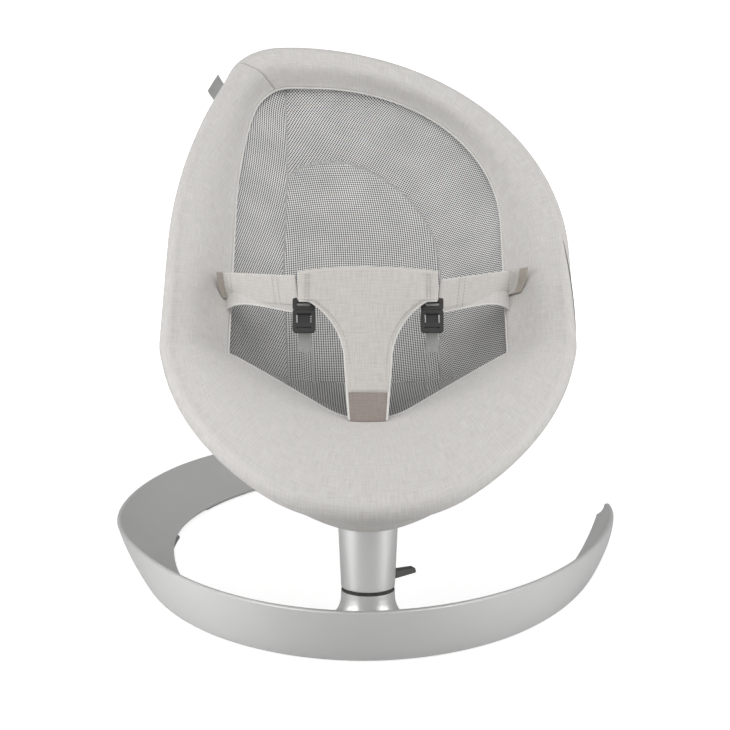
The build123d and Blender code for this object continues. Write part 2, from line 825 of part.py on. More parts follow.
save(seat_hub, "seat_hub")

with BuildPart() as tilt_bushes:
    for start, length in ((0.5, hub_half_width - 0.5), (-0.5, 0.5 - hub_half_width)):
        with BuildSketch(side_plane.offset(start)):
            Circle(tilt_bush_radius - slip_gap)
            Circle(tilt_pin_radius + running_gap, mode=Mode.SUBTRACT)
        extrude(amount=length)
save(tilt_bushes, "tilt_bushes")

# Index plunger with a grip knob
with BuildPart() as recline_knob:
    knob_plane = Plane(origin=plunger_point, x_dir=stalk_back, z_dir=(1, 0, 0))
    with BuildSketch(knob_plane.offset(-hub_half_width)):
        Circle(plunger_radius)
    extrude(amount=hub_half_width + knob_start)
    with BuildSketch(knob_plane.offset(knob_start)):
        Circle(knob_radius)
        with PolarLocations(knob_radius, knob_grip_count):
            Circle(knob_grip_radius, mode=Mode.SUBTRACT)
    extrude(amount=knob_length)
    chamfer(recline_knob.faces().sort_by(Axis.X)[-1].edges(), length=0.6)
save(recline_knob, "recline_knob")

# Struts inside the seat: front strut, bowed back bar and the spine between hub and bar
with BuildPart() as front_strut:
    strut_start = tilt_point + front_way * (hub_front_reach - socket_depth)
    with BuildSketch(Plane(origin=strut_start, z_dir=front_way)):
        Circle(strut_radius)
        Circle(strut_radius - strut_wall, mode=Mode.SUBTRACT)
    extrude(amount=(nose_point - strut_start).length)
    add(rim_front_rod.part, mode=Mode.SUBTRACT)
save(front_strut, "front_strut")

bar_left = rim_back @ bar_place
bar_right = rim_back @ (1 - bar_place)
bar_middle = (bar_left + bar_right) / 2 - back_normal * bar_depth
with BuildLine() as bar_line:
    ThreePointArc(bar_left, bar_middle, bar_right)
bar_rod = tube_along(bar_line.wire(), bar_radius, bar_radius)
with BuildPart() as back_bar:
    add(tube_along(bar_line.wire(), bar_radius, bar_wall).part)
    add(rim_back_rod.part, mode=Mode.SUBTRACT)
save(back_bar, "back_bar")

with BuildLine() as spine_line:
    spine_start = tilt_point + rear_way * (hub_rear_reach - socket_depth)
    spine_end = Vector(0, bar_middle.Y, bar_middle.Z)
    FilletPolyline(spine_start, knee_point, spine_end, radius=spine_knee_radius)
with BuildPart() as spine:
    add(tube_along(spine_line.wire(), strut_radius, strut_wall).part)
    add(bar_rod.part, mode=Mode.SUBTRACT)
save(spine, "spine")

# Padded border: wraps the rim tube and runs in to the hem of the mesh with a crowned top
wrap_inner = rim_tube_radius + cover_gap
wrap_outer = wrap_inner + cover_cloth


def border_section(tube_point, hem_point, normal):
    inward = hem_point - tube_point
    reach = inward.length
    inward = inward.normalized()
    upright = (normal - inward * normal.dot(inward)).normalized()
    half_turn = radians((90 + wrap_end) / 2)
    full_turn = radians(wrap_end)
    with BuildSketch(Plane(origin=tube_point, x_dir=inward, z_dir=inward.cross(upright))) as section:
        with BuildLine():
            ThreePointArc(
                (reach, hem_edge / 2), (reach / 2, wrap_outer / 2 + border_crown), (0, wrap_outer)
            )
            ThreePointArc(
                (0, wrap_outer),
                (wrap_outer * cos(half_turn), wrap_outer * sin(half_turn)),
                (wrap_outer * cos(full_turn), wrap_outer * sin(full_turn)),
            )
            Line(
                (wrap_outer * cos(full_turn), wrap_outer * sin(full_turn)),
                (wrap_inner * cos(full_turn), wrap_inner * sin(full_turn)),
            )
            ThreePointArc(
                (wrap_inner * cos(full_turn), wrap_inner * sin(full_turn)),
                (wrap_inner * cos(half_turn), wrap_inner * sin(half_turn)),
                (0, wrap_inner),
            )
            ThreePointArc(
                (0, wrap_inner),
                (reach / 2, wrap_outer / 2 + border_crown - border_pad),
                (reach, -hem_edge / 2),
            )
            Line((reach, -hem_edge / 2), (reach, hem_edge / 2))
        make_face()
    return section.sketch


def hem_corner(side):
    return fold_point + Vector(side * hem_half_width, 0, 0) - fold_normal * hem_drop_fold


def border_at(place, rim, hem, normal, first_side):
    """Section at a place along the rim; the fold corners belong to both planes."""
    if 0 < place < 1:
        return border_section(rim @ place, hem @ place, normal)
    side = first_side * (1 - 2 * place)
    return border_section(rim_corner(side), hem_corner(side), fold_normal)


with BuildPart() as seat_border:
    for runs, rim, hem, normal, first_side in (
        (border_runs, rim_back, hem_back, back_normal, -1),
        (apron_runs, rim_front, hem_front, front_normal, 1),
    ):
        for start, end, steps in runs:
            for step in range(steps + 1):
                place = start + (end - start) * step / steps
                add(border_at(place, rim, hem, normal, first_side))
            loft()
    for rim in (rim_back, rim_front):
        sheath_radius = rim_tube_radius + slip_gap
        add(tube_along(rim, sheath_radius, sheath_radius).part, mode=Mode.SUBTRACT)
save(seat_border, "seat_border")


# Mesh bowl and back panel: arcs hung between opposite points of an edge line
def hung_sheet(back_edge, front_edge, depth, fullness, thickness, tuck, drop):
    stations = [(back_edge @ place, back_edge @ (1 - place)) for place in bowl_places]
    stations += [(front_edge @ (1 - place), front_edge @ place) for place in bowl_front_places]
    far_y = ((stations[0][0] + stations[0][1]) / 2).Y
    near_y = ((stations[-1][0] + stations[-1][1]) / 2).Y
    with BuildPart() as sheet:
        for left, right in stations:
            centre = (left + right) / 2
            across = (right - left).normalized()
            half = (right - left).length / 2 + tuck
            share = min(max((centre.Y - fold_point.Y) / bowl_blend, -1), 1) / 2 + 0.5
            normal = back_normal * share + front_normal * (1 - share)
            upright = (normal - across * normal.dot(across)).normalized()
            swell = sin(pi * min(max((centre.Y - near_y) / (far_y - near_y), 0), 1))
            sag = drop + min(bowl_end_sag + depth * swell**fullness, bowl_steepest * half)
            with BuildSketch(Plane(origin=centre, x_dir=across, z_dir=across.cross(upright))):
                with BuildLine():
                    ThreePointArc((-half, -drop), (0, -sag), (half, -drop))
                    Line((half, -drop), (half, -drop - thickness))
                    ThreePointArc(
                        (half, -drop - thickness), (0, -sag - thickness), (-half, -drop - thickness)
                    )
                    Line((-half, -drop - thickness), (-half, -drop))
                make_face()
        loft()
    return sheet


save(
    hung_sheet(
        hem_back, hem_front, mesh_depth, mesh_fullness, mesh_thickness, mesh_tuck,
        hem_edge / 2 + 5 * soft_gap,
    ),
    "seat_mesh",
)
with BuildPart() as back_panel:
    add(
        hung_sheet(
            rim_back, rim_front, panel_depth, panel_fullness, panel_thickness, panel_tuck,
            rim_tube_radius + 2 * soft_gap,
        ).part
    )
    with BuildSketch(Plane.XY.offset(tilt_point.Z - panel_depth)):
        with Locations((0, tilt_point.Y + panel_mouth_shift)):
            SlotOverall(panel_mouth[1], panel_mouth[0], rotation=90)
    extrude(amount=panel_depth, mode=Mode.SUBTRACT)
save(back_panel, "back_panel")

# Crotch pad: a T with hollowed shoulders
pad_rise = Vector(0, pad_head[0] - pad_foot[0], pad_head[1] - pad_foot[1])
pad_length = pad_rise.length
pad_up = pad_rise.normalized()
pad_normal = Vector(1, 0, 0).cross(pad_up)
pad_bar_low = pad_length - pad_bar_height


def pad_plane(step=0):
    return Plane(
        origin=fold_point + Vector(0, *pad_foot) + pad_normal * step,
        x_dir=(1, 0, 0),
        z_dir=pad_normal,
    )


with BuildPart() as crotch_pad:
    with BuildSketch(pad_plane()):
        with BuildLine():
            for side in (-1, 1):
                stem = (side * pad_stem_half, 0)
                waist = (side * pad_waist_half, pad_waist_height)
                shoulder = (side * pad_shoulder_half, pad_bar_low)
                bar_low = (side * pad_bar_half, pad_bar_low)
                Line(stem, waist)
                hollow = middle(waist, shoulder, -side * 6, 8)
                ThreePointArc(waist, hollow, shoulder)
                Line(shoulder, bar_low)
                Line(bar_low, (side * pad_bar_half, pad_length))
            ThreePointArc(
                (-pad_bar_half, pad_length), (0, pad_length + pad_crown), (pad_bar_half, pad_length)
            )
            Line((-pad_stem_half, 0), (pad_stem_half, 0))
        make_face()
    extrude(amount=pad_thickness / 2, both=True)
    pad_faces = crotch_pad.faces().filter_by(Plane(origin=(0, 0, 0), z_dir=pad_normal))
    chamfer(pad_faces.edges(), length=pad_edge)
save(crotch_pad, "crotch_pad")


# Waist straps from the bar of the pad to the border, with a wing of cloth behind each
def strap_plane(side, step=0):
    start = fold_point + Vector(side * (pad_bar_half + strap_start[0]), *strap_start[1:])
    end = fold_point + Vector(side * (hem_half_width + strap_end[0]), *strap_end[1:])
    along = (end - start).normalized()
    upright = (Vector(0, 0, 1) - along * along.Z).normalized()
    outward = along.cross(upright)
    return Plane(origin=start + outward * side * step, x_dir=along, z_dir=outward)


strap_run = Vector(*strap_end) - Vector(*strap_start) + Vector(hem_half_width - pad_bar_half, 0, 0)
strap_length = strap_run.length
for side, hand in ((-1, "left"), (1, "right")):
    with BuildPart() as waist_strap:
        with BuildSketch(strap_plane(side)):
            with Locations((strap_length / 2, 0)):
                Rectangle(strap_length, strap_width)
        extrude(amount=strap_thickness / 2, both=True)
        fillet(waist_strap.edges().filter_by(lambda edge: edge.length > strap_width + 1), radius=1)
    save(waist_strap, f"waist_strap_{hand}")

    wing_step = -(strap_thickness / 2 + soft_gap + wing_thickness / 2)
    with BuildPart() as hip_wing:
        with BuildSketch(strap_plane(side, wing_step)):
            with BuildLine():
                Polyline(
                    (0, -wing_tip_drop - wing_narrow / 2), (0, -wing_tip_drop + wing_narrow / 2),
                    (strap_length / 3, 0), (strap_length, wing_wide / 2 - wing_drop),
                    (strap_length, -wing_wide / 2 - wing_drop), close=True,
                )
            make_face()
        extrude(amount=wing_thickness / 2, both=True)
    save(hip_wing, f"hip_wing_{hand}")

    # Side-release buckle: a clip behind the bar and a body that slides off its tongue
    buckle_step = -(pad_thickness / 2 + soft_gap + buckle_thickness / 2)
    clip_top = pad_bar_low + buckle_overlap
    clip_low = clip_top - buckle_clip_height
    with BuildPart() as buckle_clip:
        with BuildSketch(pad_plane(buckle_step)):
            with Locations((side * buckle_x, (clip_top + clip_low) / 2)):
                RectangleRounded(buckle_width, buckle_clip_height, 2)
                Rectangle(buckle_slot_width, buckle_slot, mode=Mode.SUBTRACT)
        extrude(amount=buckle_thickness / 2, both=True)
        with BuildSketch(pad_plane(buckle_step)):
            with Locations((side * buckle_x, clip_low + 1 - buckle_tongue / 2)):
                Rectangle(buckle_tongue_width, buckle_tongue + 2)
        extrude(amount=buckle_tongue_thickness / 2, both=True)
    save(buckle_clip, f"buckle_clip_{hand}")

    body_top = clip_low - soft_gap
    with BuildPart() as buckle_body:
        with BuildSketch(pad_plane(buckle_step)):
            with Locations((side * buckle_x, body_top - buckle_body_height / 2)):
                RectangleRounded(buckle_width, buckle_body_height, 3)
        extrude(amount=buckle_thickness / 2, both=True)
        with BuildSketch(pad_plane(buckle_step)):
            with Locations((side * buckle_x, body_top - buckle_tongue / 2)):
                Rectangle(buckle_tongue_width + 2 * soft_gap, buckle_tongue + 2 * soft_gap)
        extrude(amount=buckle_tongue_thickness / 2 + soft_gap, both=True, mode=Mode.SUBTRACT)
        with BuildSketch(pad_plane(buckle_step)):
            with Locations((side * buckle_x, body_top - buckle_body_height + buckle_slot + 1)):
                Rectangle(buckle_slot_width, buckle_slot / 2)
            with Locations((side * buckle_x, body_top - buckle_window_drop - buckle_window[1] / 2)):
                Rectangle(*buckle_window)
        extrude(amount=buckle_thickness, both=True, mode=Mode.SUBTRACT)
    save(buckle_body, f"buckle_body_{hand}")

# Tag sewn into the seam on the upper left of the rim
with BuildPart() as label_tag:
    tag_along = rim_back % tag_place
    tag_out = back_normal.cross(tag_along)
    tag_point = (rim_back @ tag_place) + tag_out * (wrap_outer - tag_sink)
    with BuildSketch(Plane(origin=tag_point, x_dir=tag_out, z_dir=back_normal)):
        with Locations((tag_width / 2, 0)):
            Rectangle(tag_width, tag_length)
    extrude(amount=tag_thickness / 2, both=True)
    add(seat_border.part, mode=Mode.SUBTRACT)
save(label_tag, "label_tag")
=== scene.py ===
import bpy
import numpy as np
from math import acos, atan2, cos, degrees, hypot, pi, radians, sin
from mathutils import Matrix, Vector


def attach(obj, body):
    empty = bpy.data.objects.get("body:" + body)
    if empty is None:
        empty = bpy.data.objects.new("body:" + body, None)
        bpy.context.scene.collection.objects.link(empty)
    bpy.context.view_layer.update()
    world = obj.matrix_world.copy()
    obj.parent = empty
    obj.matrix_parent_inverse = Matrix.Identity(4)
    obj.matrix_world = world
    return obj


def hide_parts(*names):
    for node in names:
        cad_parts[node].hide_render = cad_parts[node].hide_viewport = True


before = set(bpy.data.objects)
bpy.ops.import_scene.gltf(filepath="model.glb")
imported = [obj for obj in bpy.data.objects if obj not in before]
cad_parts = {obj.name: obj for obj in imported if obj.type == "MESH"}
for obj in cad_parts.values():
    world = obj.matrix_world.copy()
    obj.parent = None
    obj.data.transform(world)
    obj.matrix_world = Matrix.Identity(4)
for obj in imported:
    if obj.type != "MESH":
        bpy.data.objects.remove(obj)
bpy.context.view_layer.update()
print("frame loaded,", len(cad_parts), "nodes")

mm = 0.001  # all shapes below are worked out in millimetres


# node helpers
def addNode(tree, kind, **values):
    # a node of that kind with its settings
    node = tree.nodes.new(kind)
    for key, value in values.items():
        setattr(node, key, value)
    return node


def mathNode(tree, operation, first, second=None, third=None, clamp=False):
    # one sum of up to three values; numbers are set, sockets are linked
    node = addNode(tree, "ShaderNodeMath", operation=operation, use_clamp=clamp)
    for index, value in enumerate((first, second, third)):
        if value is None:
            continue
        if isinstance(value, (int, float)):
            node.inputs[index].default_value = value
        else:
            tree.links.new(value, node.inputs[index])
    return node.outputs[0]


def newGroup(name, inputs, outputs):
    # an empty group with its sockets, and the nodes at its two ends
    tree = bpy.data.node_groups.new(name, "ShaderNodeTree")
    for label, kind, value in inputs:
        socket = tree.interface.new_socket(label, in_out="INPUT", socket_type=kind)
        if value is not None:
            socket.default_value = value
    for label, kind in outputs:
        tree.interface.new_socket(label, in_out="OUTPUT", socket_type=kind)
    return tree, addNode(tree, "NodeGroupInput"), addNode(tree, "NodeGroupOutput")


def newMaterial(name):
    # a node material, its tree and its main shader
    material = bpy.data.materials.new(name)
    material.use_nodes = True
    shader = material.node_tree.nodes["Principled BSDF"]
    return material, material.node_tree, shader


def useGroup(tree, group, **values):
    # a shared effect placed in a material with that material's values
    node = addNode(tree, "ShaderNodeGroup", node_tree=group)
    for key, value in values.items():
        socket = node.inputs[key]
        if isinstance(value, bpy.types.NodeSocket):
            tree.links.new(value, socket)
        else:
            socket.default_value = value
    return node


def colourRamp(tree, factor, stops):
    # colours at places from 0 to 1, blended between them
    ramp = addNode(tree, "ShaderNodeValToRGB")
    elements = ramp.color_ramp.elements
    while len(elements) < len(stops):
        elements.new(0.5)
    for element, (position, colour) in zip(elements, stops):
        element.position = position
        element.color = (*colour, 1)
    tree.links.new(factor, ramp.inputs["Fac"])
    return ramp.outputs["Color"]


def bumpInto(tree, shader, height, strength, distance):
    # height in metres times strength tilts the normal
    bump = addNode(tree, "ShaderNodeBump")
    bump.inputs["Strength"].default_value = strength
    bump.inputs["Distance"].default_value = distance
    tree.links.new(height, bump.inputs["Height"])
    tree.links.new(bump.outputs["Normal"], shader.inputs["Normal"])


# shared effects
def linenGroup():
    # threads: sine bands along both directions of the map, crossed; slubs: noise stretched along each
    tree, given, made = newGroup(
        "linenThreads",
        [("Vector", "NodeSocketVector", None), ("Pitch", "NodeSocketFloat", 0.0011)],
        [("Tone", "NodeSocketFloat"), ("Height", "NodeSocketFloat")],
    )
    split = addNode(tree, "ShaderNodeSeparateXYZ")
    tree.links.new(given.outputs["Vector"], split.inputs[0])
    wobble = addNode(tree, "ShaderNodeTexNoise")
    wobble.inputs["Scale"].default_value = 120
    tree.links.new(given.outputs["Vector"], wobble.inputs["Vector"])
    shift = mathNode(tree, "MULTIPLY", wobble.outputs["Fac"], 4.0)
    bands = []
    for axis in ("X", "Y"):
        turns = mathNode(tree, "DIVIDE", split.outputs[axis], given.outputs["Pitch"])
        phase = mathNode(tree, "MULTIPLY_ADD", turns, 2 * pi, shift)
        bands.append(mathNode(tree, "SINE", phase))
    crossed = mathNode(tree, "MULTIPLY", bands[0], bands[1])
    slubs = []
    for stretch in ((60, 900, 1), (900, 60, 1)):
        scaled = addNode(tree, "ShaderNodeMapping")
        scaled.inputs["Scale"].default_value = stretch
        tree.links.new(given.outputs["Vector"], scaled.inputs["Vector"])
        noise = addNode(tree, "ShaderNodeTexNoise")
        noise.inputs["Scale"].default_value = 1.0
        noise.inputs["Detail"].default_value = 2.0
        tree.links.new(scaled.outputs[0], noise.inputs["Vector"])
        slubs.append(noise.outputs["Fac"])
    slub = mathNode(tree, "ADD", slubs[0], slubs[1])
    halfSlub = mathNode(tree, "MULTIPLY", slub, 0.5)
    tone = mathNode(tree, "MULTIPLY_ADD", crossed, 0.12, halfSlub, clamp=True)
    height = mathNode(tree, "MULTIPLY_ADD", crossed, 0.35, mathNode(tree, "MULTIPLY", slub, 0.3))
    tree.links.new(tone, made.inputs["Tone"])
    tree.links.new(height, made.inputs["Height"])
    return tree


def spacerGroup():
    # holes of the spacer mesh: lobes of cos times cos make a diagonal lattice, cut at a level
    tree, given, made = newGroup(
        "spacerHoles",
        [("Vector", "NodeSocketVector", None), ("Pitch", "NodeSocketFloat", 0.0032)],
        [("Hole", "NodeSocketFloat"), ("Height", "NodeSocketFloat"), ("Cloud", "NodeSocketFloat")],
    )
    split = addNode(tree, "ShaderNodeSeparateXYZ")
    tree.links.new(given.outputs["Vector"], split.inputs[0])
    waves = []
    for axis in ("X", "Y"):
        turns = mathNode(tree, "DIVIDE", split.outputs[axis], given.outputs["Pitch"])
        waves.append(mathNode(tree, "COSINE", mathNode(tree, "MULTIPLY", turns, 2 * pi)))
    lobes = mathNode(tree, "MULTIPLY", waves[0], waves[1])
    step = addNode(tree, "ShaderNodeMapRange", interpolation_type="SMOOTHSTEP")
    step.inputs["From Min"].default_value = -0.08
    step.inputs["From Max"].default_value = 0.28
    tree.links.new(lobes, step.inputs["Value"])
    cloud = addNode(tree, "ShaderNodeTexNoise")
    cloud.inputs["Scale"].default_value = 22
    cloud.inputs["Detail"].default_value = 3
    tree.links.new(given.outputs["Vector"], cloud.inputs["Vector"])
    tree.links.new(step.outputs["Result"], made.inputs["Hole"])
    tree.links.new(mathNode(tree, "SUBTRACT", 1.0, step.outputs["Result"]), made.inputs["Height"])
    tree.links.new(cloud.outputs["Fac"], made.inputs["Cloud"])
    return tree


def grainGroup():
    # fine grain and a slow drift of tone, both noise in object space
    tree, given, made = newGroup(
        "surfaceGrain",
        [
            ("Vector", "NodeSocketVector", None),
            ("Fine", "NodeSocketFloat", 900.0),
            ("Slow", "NodeSocketFloat", 9.0),
        ],
        [("Grain", "NodeSocketFloat"), ("Drift", "NodeSocketFloat")],
    )
    for label, scale in (("Grain", "Fine"), ("Drift", "Slow")):
        noise = addNode(tree, "ShaderNodeTexNoise")
        noise.inputs["Detail"].default_value = 2
        tree.links.new(given.outputs["Vector"], noise.inputs["Vector"])
        tree.links.new(given.outputs[scale], noise.inputs["Scale"])
        tree.links.new(noise.outputs["Fac"], made.inputs[label])
    return tree


linenThreads = linenGroup()
spacerHoles = spacerGroup()
surfaceGrain = grainGroup()


# materials
def linenMaterial(name, dark, light, pitch=0.0011, bump=0.35):
    # woven cloth: the threads' tone runs from the dark to the light colour, their height is the bump
    material, tree, shader = newMaterial(name)
    coords = addNode(tree, "ShaderNodeUVMap", uv_map="cloth")
    weave = useGroup(tree, linenThreads, Vector=coords.outputs[0], Pitch=pitch)
    shade = colourRamp(tree, weave.outputs["Tone"], [(0.3, dark), (0.72, light)])
    tree.links.new(shade, shader.inputs["Base Color"])
    shader.inputs["Roughness"].default_value = 0.9
    shader.inputs["Specular IOR Level"].default_value = 0.2
    shader.inputs["Sheen Weight"].default_value = 0.15
    shader.inputs["Sheen Roughness"].default_value = 0.5
    bumpInto(tree, shader, weave.outputs["Height"], bump, 0.0006)
    return material


def spacerMaterial(name, thread, hole):
    # holed mesh, its lattice turned in each panel; seams are a darker thread, and the low end of the bowl
    # gets painted shade
    material, tree, shader = newMaterial(name)
    coords = addNode(tree, "ShaderNodeUVMap", uv_map="cloth")
    turned = addNode(tree, "ShaderNodeVectorRotate", rotation_type="Z_AXIS")
    panelTurn = addNode(tree, "ShaderNodeAttribute", attribute_name="turn")
    tree.links.new(coords.outputs[0], turned.inputs["Vector"])
    angle = mathNode(tree, "MULTIPLY_ADD", panelTurn.outputs["Fac"], 0.35, 0.14)
    tree.links.new(angle, turned.inputs["Angle"])
    holes = useGroup(tree, spacerHoles, Vector=turned.outputs[0], Pitch=0.0034)
    seam = addNode(tree, "ShaderNodeAttribute", attribute_name="seam")
    dull = tuple(0.86 * c for c in thread)
    cloth = colourRamp(tree, holes.outputs["Cloud"], [(0.3, dull), (0.7, thread)])
    mixed = addNode(tree, "ShaderNodeMix", data_type="RGBA")
    mixed.inputs["B"].default_value = (*hole, 1)
    tree.links.new(holes.outputs["Hole"], mixed.inputs["Factor"])
    tree.links.new(cloth, mixed.inputs["A"])
    seamed = addNode(tree, "ShaderNodeMix", data_type="RGBA")
    seamed.inputs["B"].default_value = (*[0.55 * c for c in thread], 1)
    tree.links.new(mathNode(tree, "MULTIPLY", seam.outputs["Fac"], 0.8), seamed.inputs["Factor"])
    tree.links.new(mixed.outputs["Result"], seamed.inputs["A"])
    # painted shade: where the paintedShade mark is high, the colour is multiplied towards half grey, standing
    # in for the shade at the low end of the bowl
    paintedShade = addNode(tree, "ShaderNodeAttribute", attribute_name="paintedShade")
    darker = addNode(tree, "ShaderNodeMix", data_type="RGBA", blend_type="MULTIPLY")
    darker.inputs["B"].default_value = (0.5, 0.5, 0.49, 1)
    tree.links.new(paintedShade.outputs["Fac"], darker.inputs["Factor"])
    tree.links.new(seamed.outputs["Result"], darker.inputs["A"])
    tree.links.new(darker.outputs["Result"], shader.inputs["Base Color"])
    shader.inputs["Roughness"].default_value = 0.85
    shader.inputs["Specular IOR Level"].default_value = 0.25
    bumpInto(tree, shader, holes.outputs["Height"], 0.5, 0.0008)
    return material


def solidMaterial(
    name, colour, roughness, metallic=0.0, fine=900.0, slow=9.0, spread=0.08, bump=0.05, coat=0.0
):
    # paint, metal, plastic or rubber: grain and drift vary the colour by the spread and the roughness a tenth
    material, tree, shader = newMaterial(name)
    coords = addNode(tree, "ShaderNodeTexCoord")
    grain = useGroup(tree, surfaceGrain, Vector=coords.outputs["Object"], Fine=fine, Slow=slow)
    drift = mathNode(tree, "MULTIPLY", grain.outputs["Drift"], 0.5)
    tone = mathNode(tree, "MULTIPLY_ADD", grain.outputs["Grain"], 0.5, drift)
    low, high = (tuple(min(1, c * (1 + side * spread)) for c in colour) for side in (-1, 1))
    tree.links.new(colourRamp(tree, tone, [(0.3, low), (0.7, high)]), shader.inputs["Base Color"])
    rough = addNode(tree, "ShaderNodeMapRange")
    rough.inputs["To Min"].default_value = roughness * 0.9
    rough.inputs["To Max"].default_value = min(1, roughness * 1.1)
    tree.links.new(grain.outputs["Drift"], rough.inputs["Value"])
    tree.links.new(rough.outputs["Result"], shader.inputs["Roughness"])
    shader.inputs["Metallic"].default_value = metallic
    shader.inputs["Coat Weight"].default_value = coat
    bumpInto(tree, shader, grain.outputs["Grain"], bump, 0.0002)
    return material


linens = dict(
    linenCover=dict(dark=(0.5, 0.485, 0.465), light=(0.66, 0.645, 0.62)),
    harnessLinen=dict(dark=(0.5, 0.475, 0.45), light=(0.66, 0.635, 0.6), pitch=0.0009),
    strapLinen=dict(dark=(0.52, 0.5, 0.478), light=(0.67, 0.65, 0.625), pitch=0.0009),
    paleBinding=dict(dark=(0.62, 0.61, 0.59), light=(0.76, 0.75, 0.73), pitch=0.0007, bump=0.2),
    footLinen=dict(dark=(0.27, 0.23, 0.21), light=(0.36, 0.31, 0.285), pitch=0.0009),
    tanTape=dict(dark=(0.38, 0.34, 0.3), light=(0.5, 0.46, 0.41), pitch=0.0014, bump=0.5),
    threadLinen=dict(dark=(0.36, 0.34, 0.32), light=(0.46, 0.44, 0.42), pitch=0.0005, bump=0.1),
    tagRibbon=dict(dark=(0.306, 0.306, 0.30175), light=(0.36, 0.36, 0.355), pitch=0.0006),
    darkTape=dict(dark=(0.1, 0.1, 0.1), light=(0.18, 0.18, 0.175), pitch=0.0008),
    greyWebbing=dict(dark=(0.3, 0.3, 0.29), light=(0.42, 0.42, 0.4), pitch=0.0016, bump=0.6),
)
(
    linenCover, harnessLinen, strapLinen, paleBinding, footLinen, tanTape, threadLinen, tagRibbon, darkTape,
    greyWebbing,
) = (linenMaterial(name, **values) for name, values in linens.items())
spacerMesh = spacerMaterial("spacerMesh", thread=(0.8, 0.8, 0.79), hole=(0.025, 0.025, 0.025))
solids = dict(
    silverPaint=dict(
        colour=(0.72, 0.72, 0.715), roughness=0.36, metallic=0.6, fine=2200, spread=0.05, bump=0.03, coat=0.1
    ),
    plainSteel=dict(colour=(0.5, 0.5, 0.5), roughness=0.35, metallic=0.95, fine=500),
    rawCasting=dict(colour=(0.32, 0.32, 0.32), roughness=0.55, metallic=0.7, fine=350, bump=0.25),
    coatedTube=dict(colour=(0.12, 0.12, 0.12), roughness=0.6, fine=600, bump=0.1),
    blackPlastic=dict(colour=(0.03, 0.03, 0.03), roughness=0.45, fine=1200, bump=0.1),
    leverPlastic=dict(colour=(0.07, 0.07, 0.065), roughness=0.5, fine=1200, bump=0.1),
    palePlastic=dict(colour=(0.6, 0.6, 0.58), roughness=0.5),
    greyRubber=dict(colour=(0.3, 0.3, 0.295), roughness=0.7, fine=700, bump=0.15),
    darkRubber=dict(colour=(0.035, 0.035, 0.034), roughness=0.75, fine=700, bump=0.15),
)
(
    silverPaint, plainSteel, rawCasting, coatedTube, blackPlastic, leverPlastic, palePlastic, greyRubber,
    darkRubber,
) = (solidMaterial(name, **values) for name, values in solids.items())
print("materials ready")


# mesh helpers
def gridMesh(name, grid, cloth, material, closedU=False, closedV=False, marks=None, keep=None):
    # grid[u, v] are points in mm; quads join neighbours, round the ends where a direction is closed;
    # cloth[u, v] is the map in metres, one row or column longer in a closed direction
    countU, countV = grid.shape[:2]
    u = np.arange(countU if closedU else countU - 1)
    v = np.arange(countV if closedV else countV - 1)
    uu, vv = (a.ravel() for a in np.meshgrid(u, v, indexing="ij"))
    corners = np.stack([uu, uu + 1, uu + 1, uu]), np.stack([vv, vv, vv + 1, vv + 1])
    quads = ((corners[0] % countU) * countV + corners[1] % countV).T
    points = grid.reshape(-1, 3) * mm
    if keep is not None:
        corners = tuple(k[:, keep.ravel()] for k in corners)
        used, quads = np.unique(quads[keep.ravel()], return_inverse=True)
        points, quads = points[used], quads.reshape(-1, 4)
    if closedU or closedV:
        a, b, c, d = (points[quads[:, k]] for k in range(4))
        volume = np.einsum("ij,ij->", a, np.cross(b, c)) + np.einsum("ij,ij->", a, np.cross(c, d))
        if volume < 0:
            quads = quads[:, ::-1]
            corners = tuple(k[::-1] for k in corners)
    mesh = bpy.data.meshes.new(name)
    mesh.from_pydata(points.tolist(), [], quads.tolist())
    layer = mesh.uv_layers.new(name="cloth")
    spots = cloth[corners[0].T.ravel(), corners[1].T.ravel()]
    layer.data.foreach_set("uv", spots.astype(np.float32).ravel())
    mesh.polygons.foreach_set("use_smooth", np.ones(len(quads), bool))
    for label, values in (marks or {}).items():
        mark = mesh.attributes.new(label, "FLOAT", "POINT")
        mark.data.foreach_set("value", values.astype(np.float32).ravel())
    mesh.materials.append(material)
    mesh.update()
    piece = bpy.data.objects.new(name, mesh)
    bpy.context.scene.collection.objects.link(piece)
    return piece


def thicken(piece, thickness, side=0.0):
    # a sheet gets two faces, half the thickness on each side or all of it on one
    shell = piece.modifiers.new("thickness", "SOLIDIFY")
    shell.thickness = thickness * mm
    shell.offset = side
    return piece


def stepLengths(points):
    # distance between neighbours in a row of points
    return np.linalg.norm(np.diff(points, axis=0), axis=1)


def runLengths(points):
    # length from the first point of a row to each one
    return np.concatenate([[0], np.cumsum(stepLengths(points))])


def girthLengths(grid):
    # the same along the second direction of a grid, for all its rows
    steps = np.linalg.norm(np.diff(grid, axis=1), axis=2)
    return np.concatenate([np.zeros((len(grid), 1)), np.cumsum(steps, 1)], 1)


def evenPoints(points, shares):
    # points at shares of a polyline's length
    length = runLengths(points)
    wanted = np.asarray(shares) * length[-1]
    return np.stack([np.interp(wanted, length, column) for column in points.T], 1)


def smoothLoop(values, sigma):
    # a closed row of values blurred by a bell curve of that many steps, through its Fourier series
    waves = np.fft.rfftfreq(len(values))
    bell = np.exp(-2 * (pi * waves * sigma) ** 2)[:, None]
    return np.fft.irfft(np.fft.rfft(values, axis=0) * bell, len(values), axis=0)


def unitRows(values):
    # vectors divided by their length
    return values / np.linalg.norm(values, axis=-1, keepdims=True)


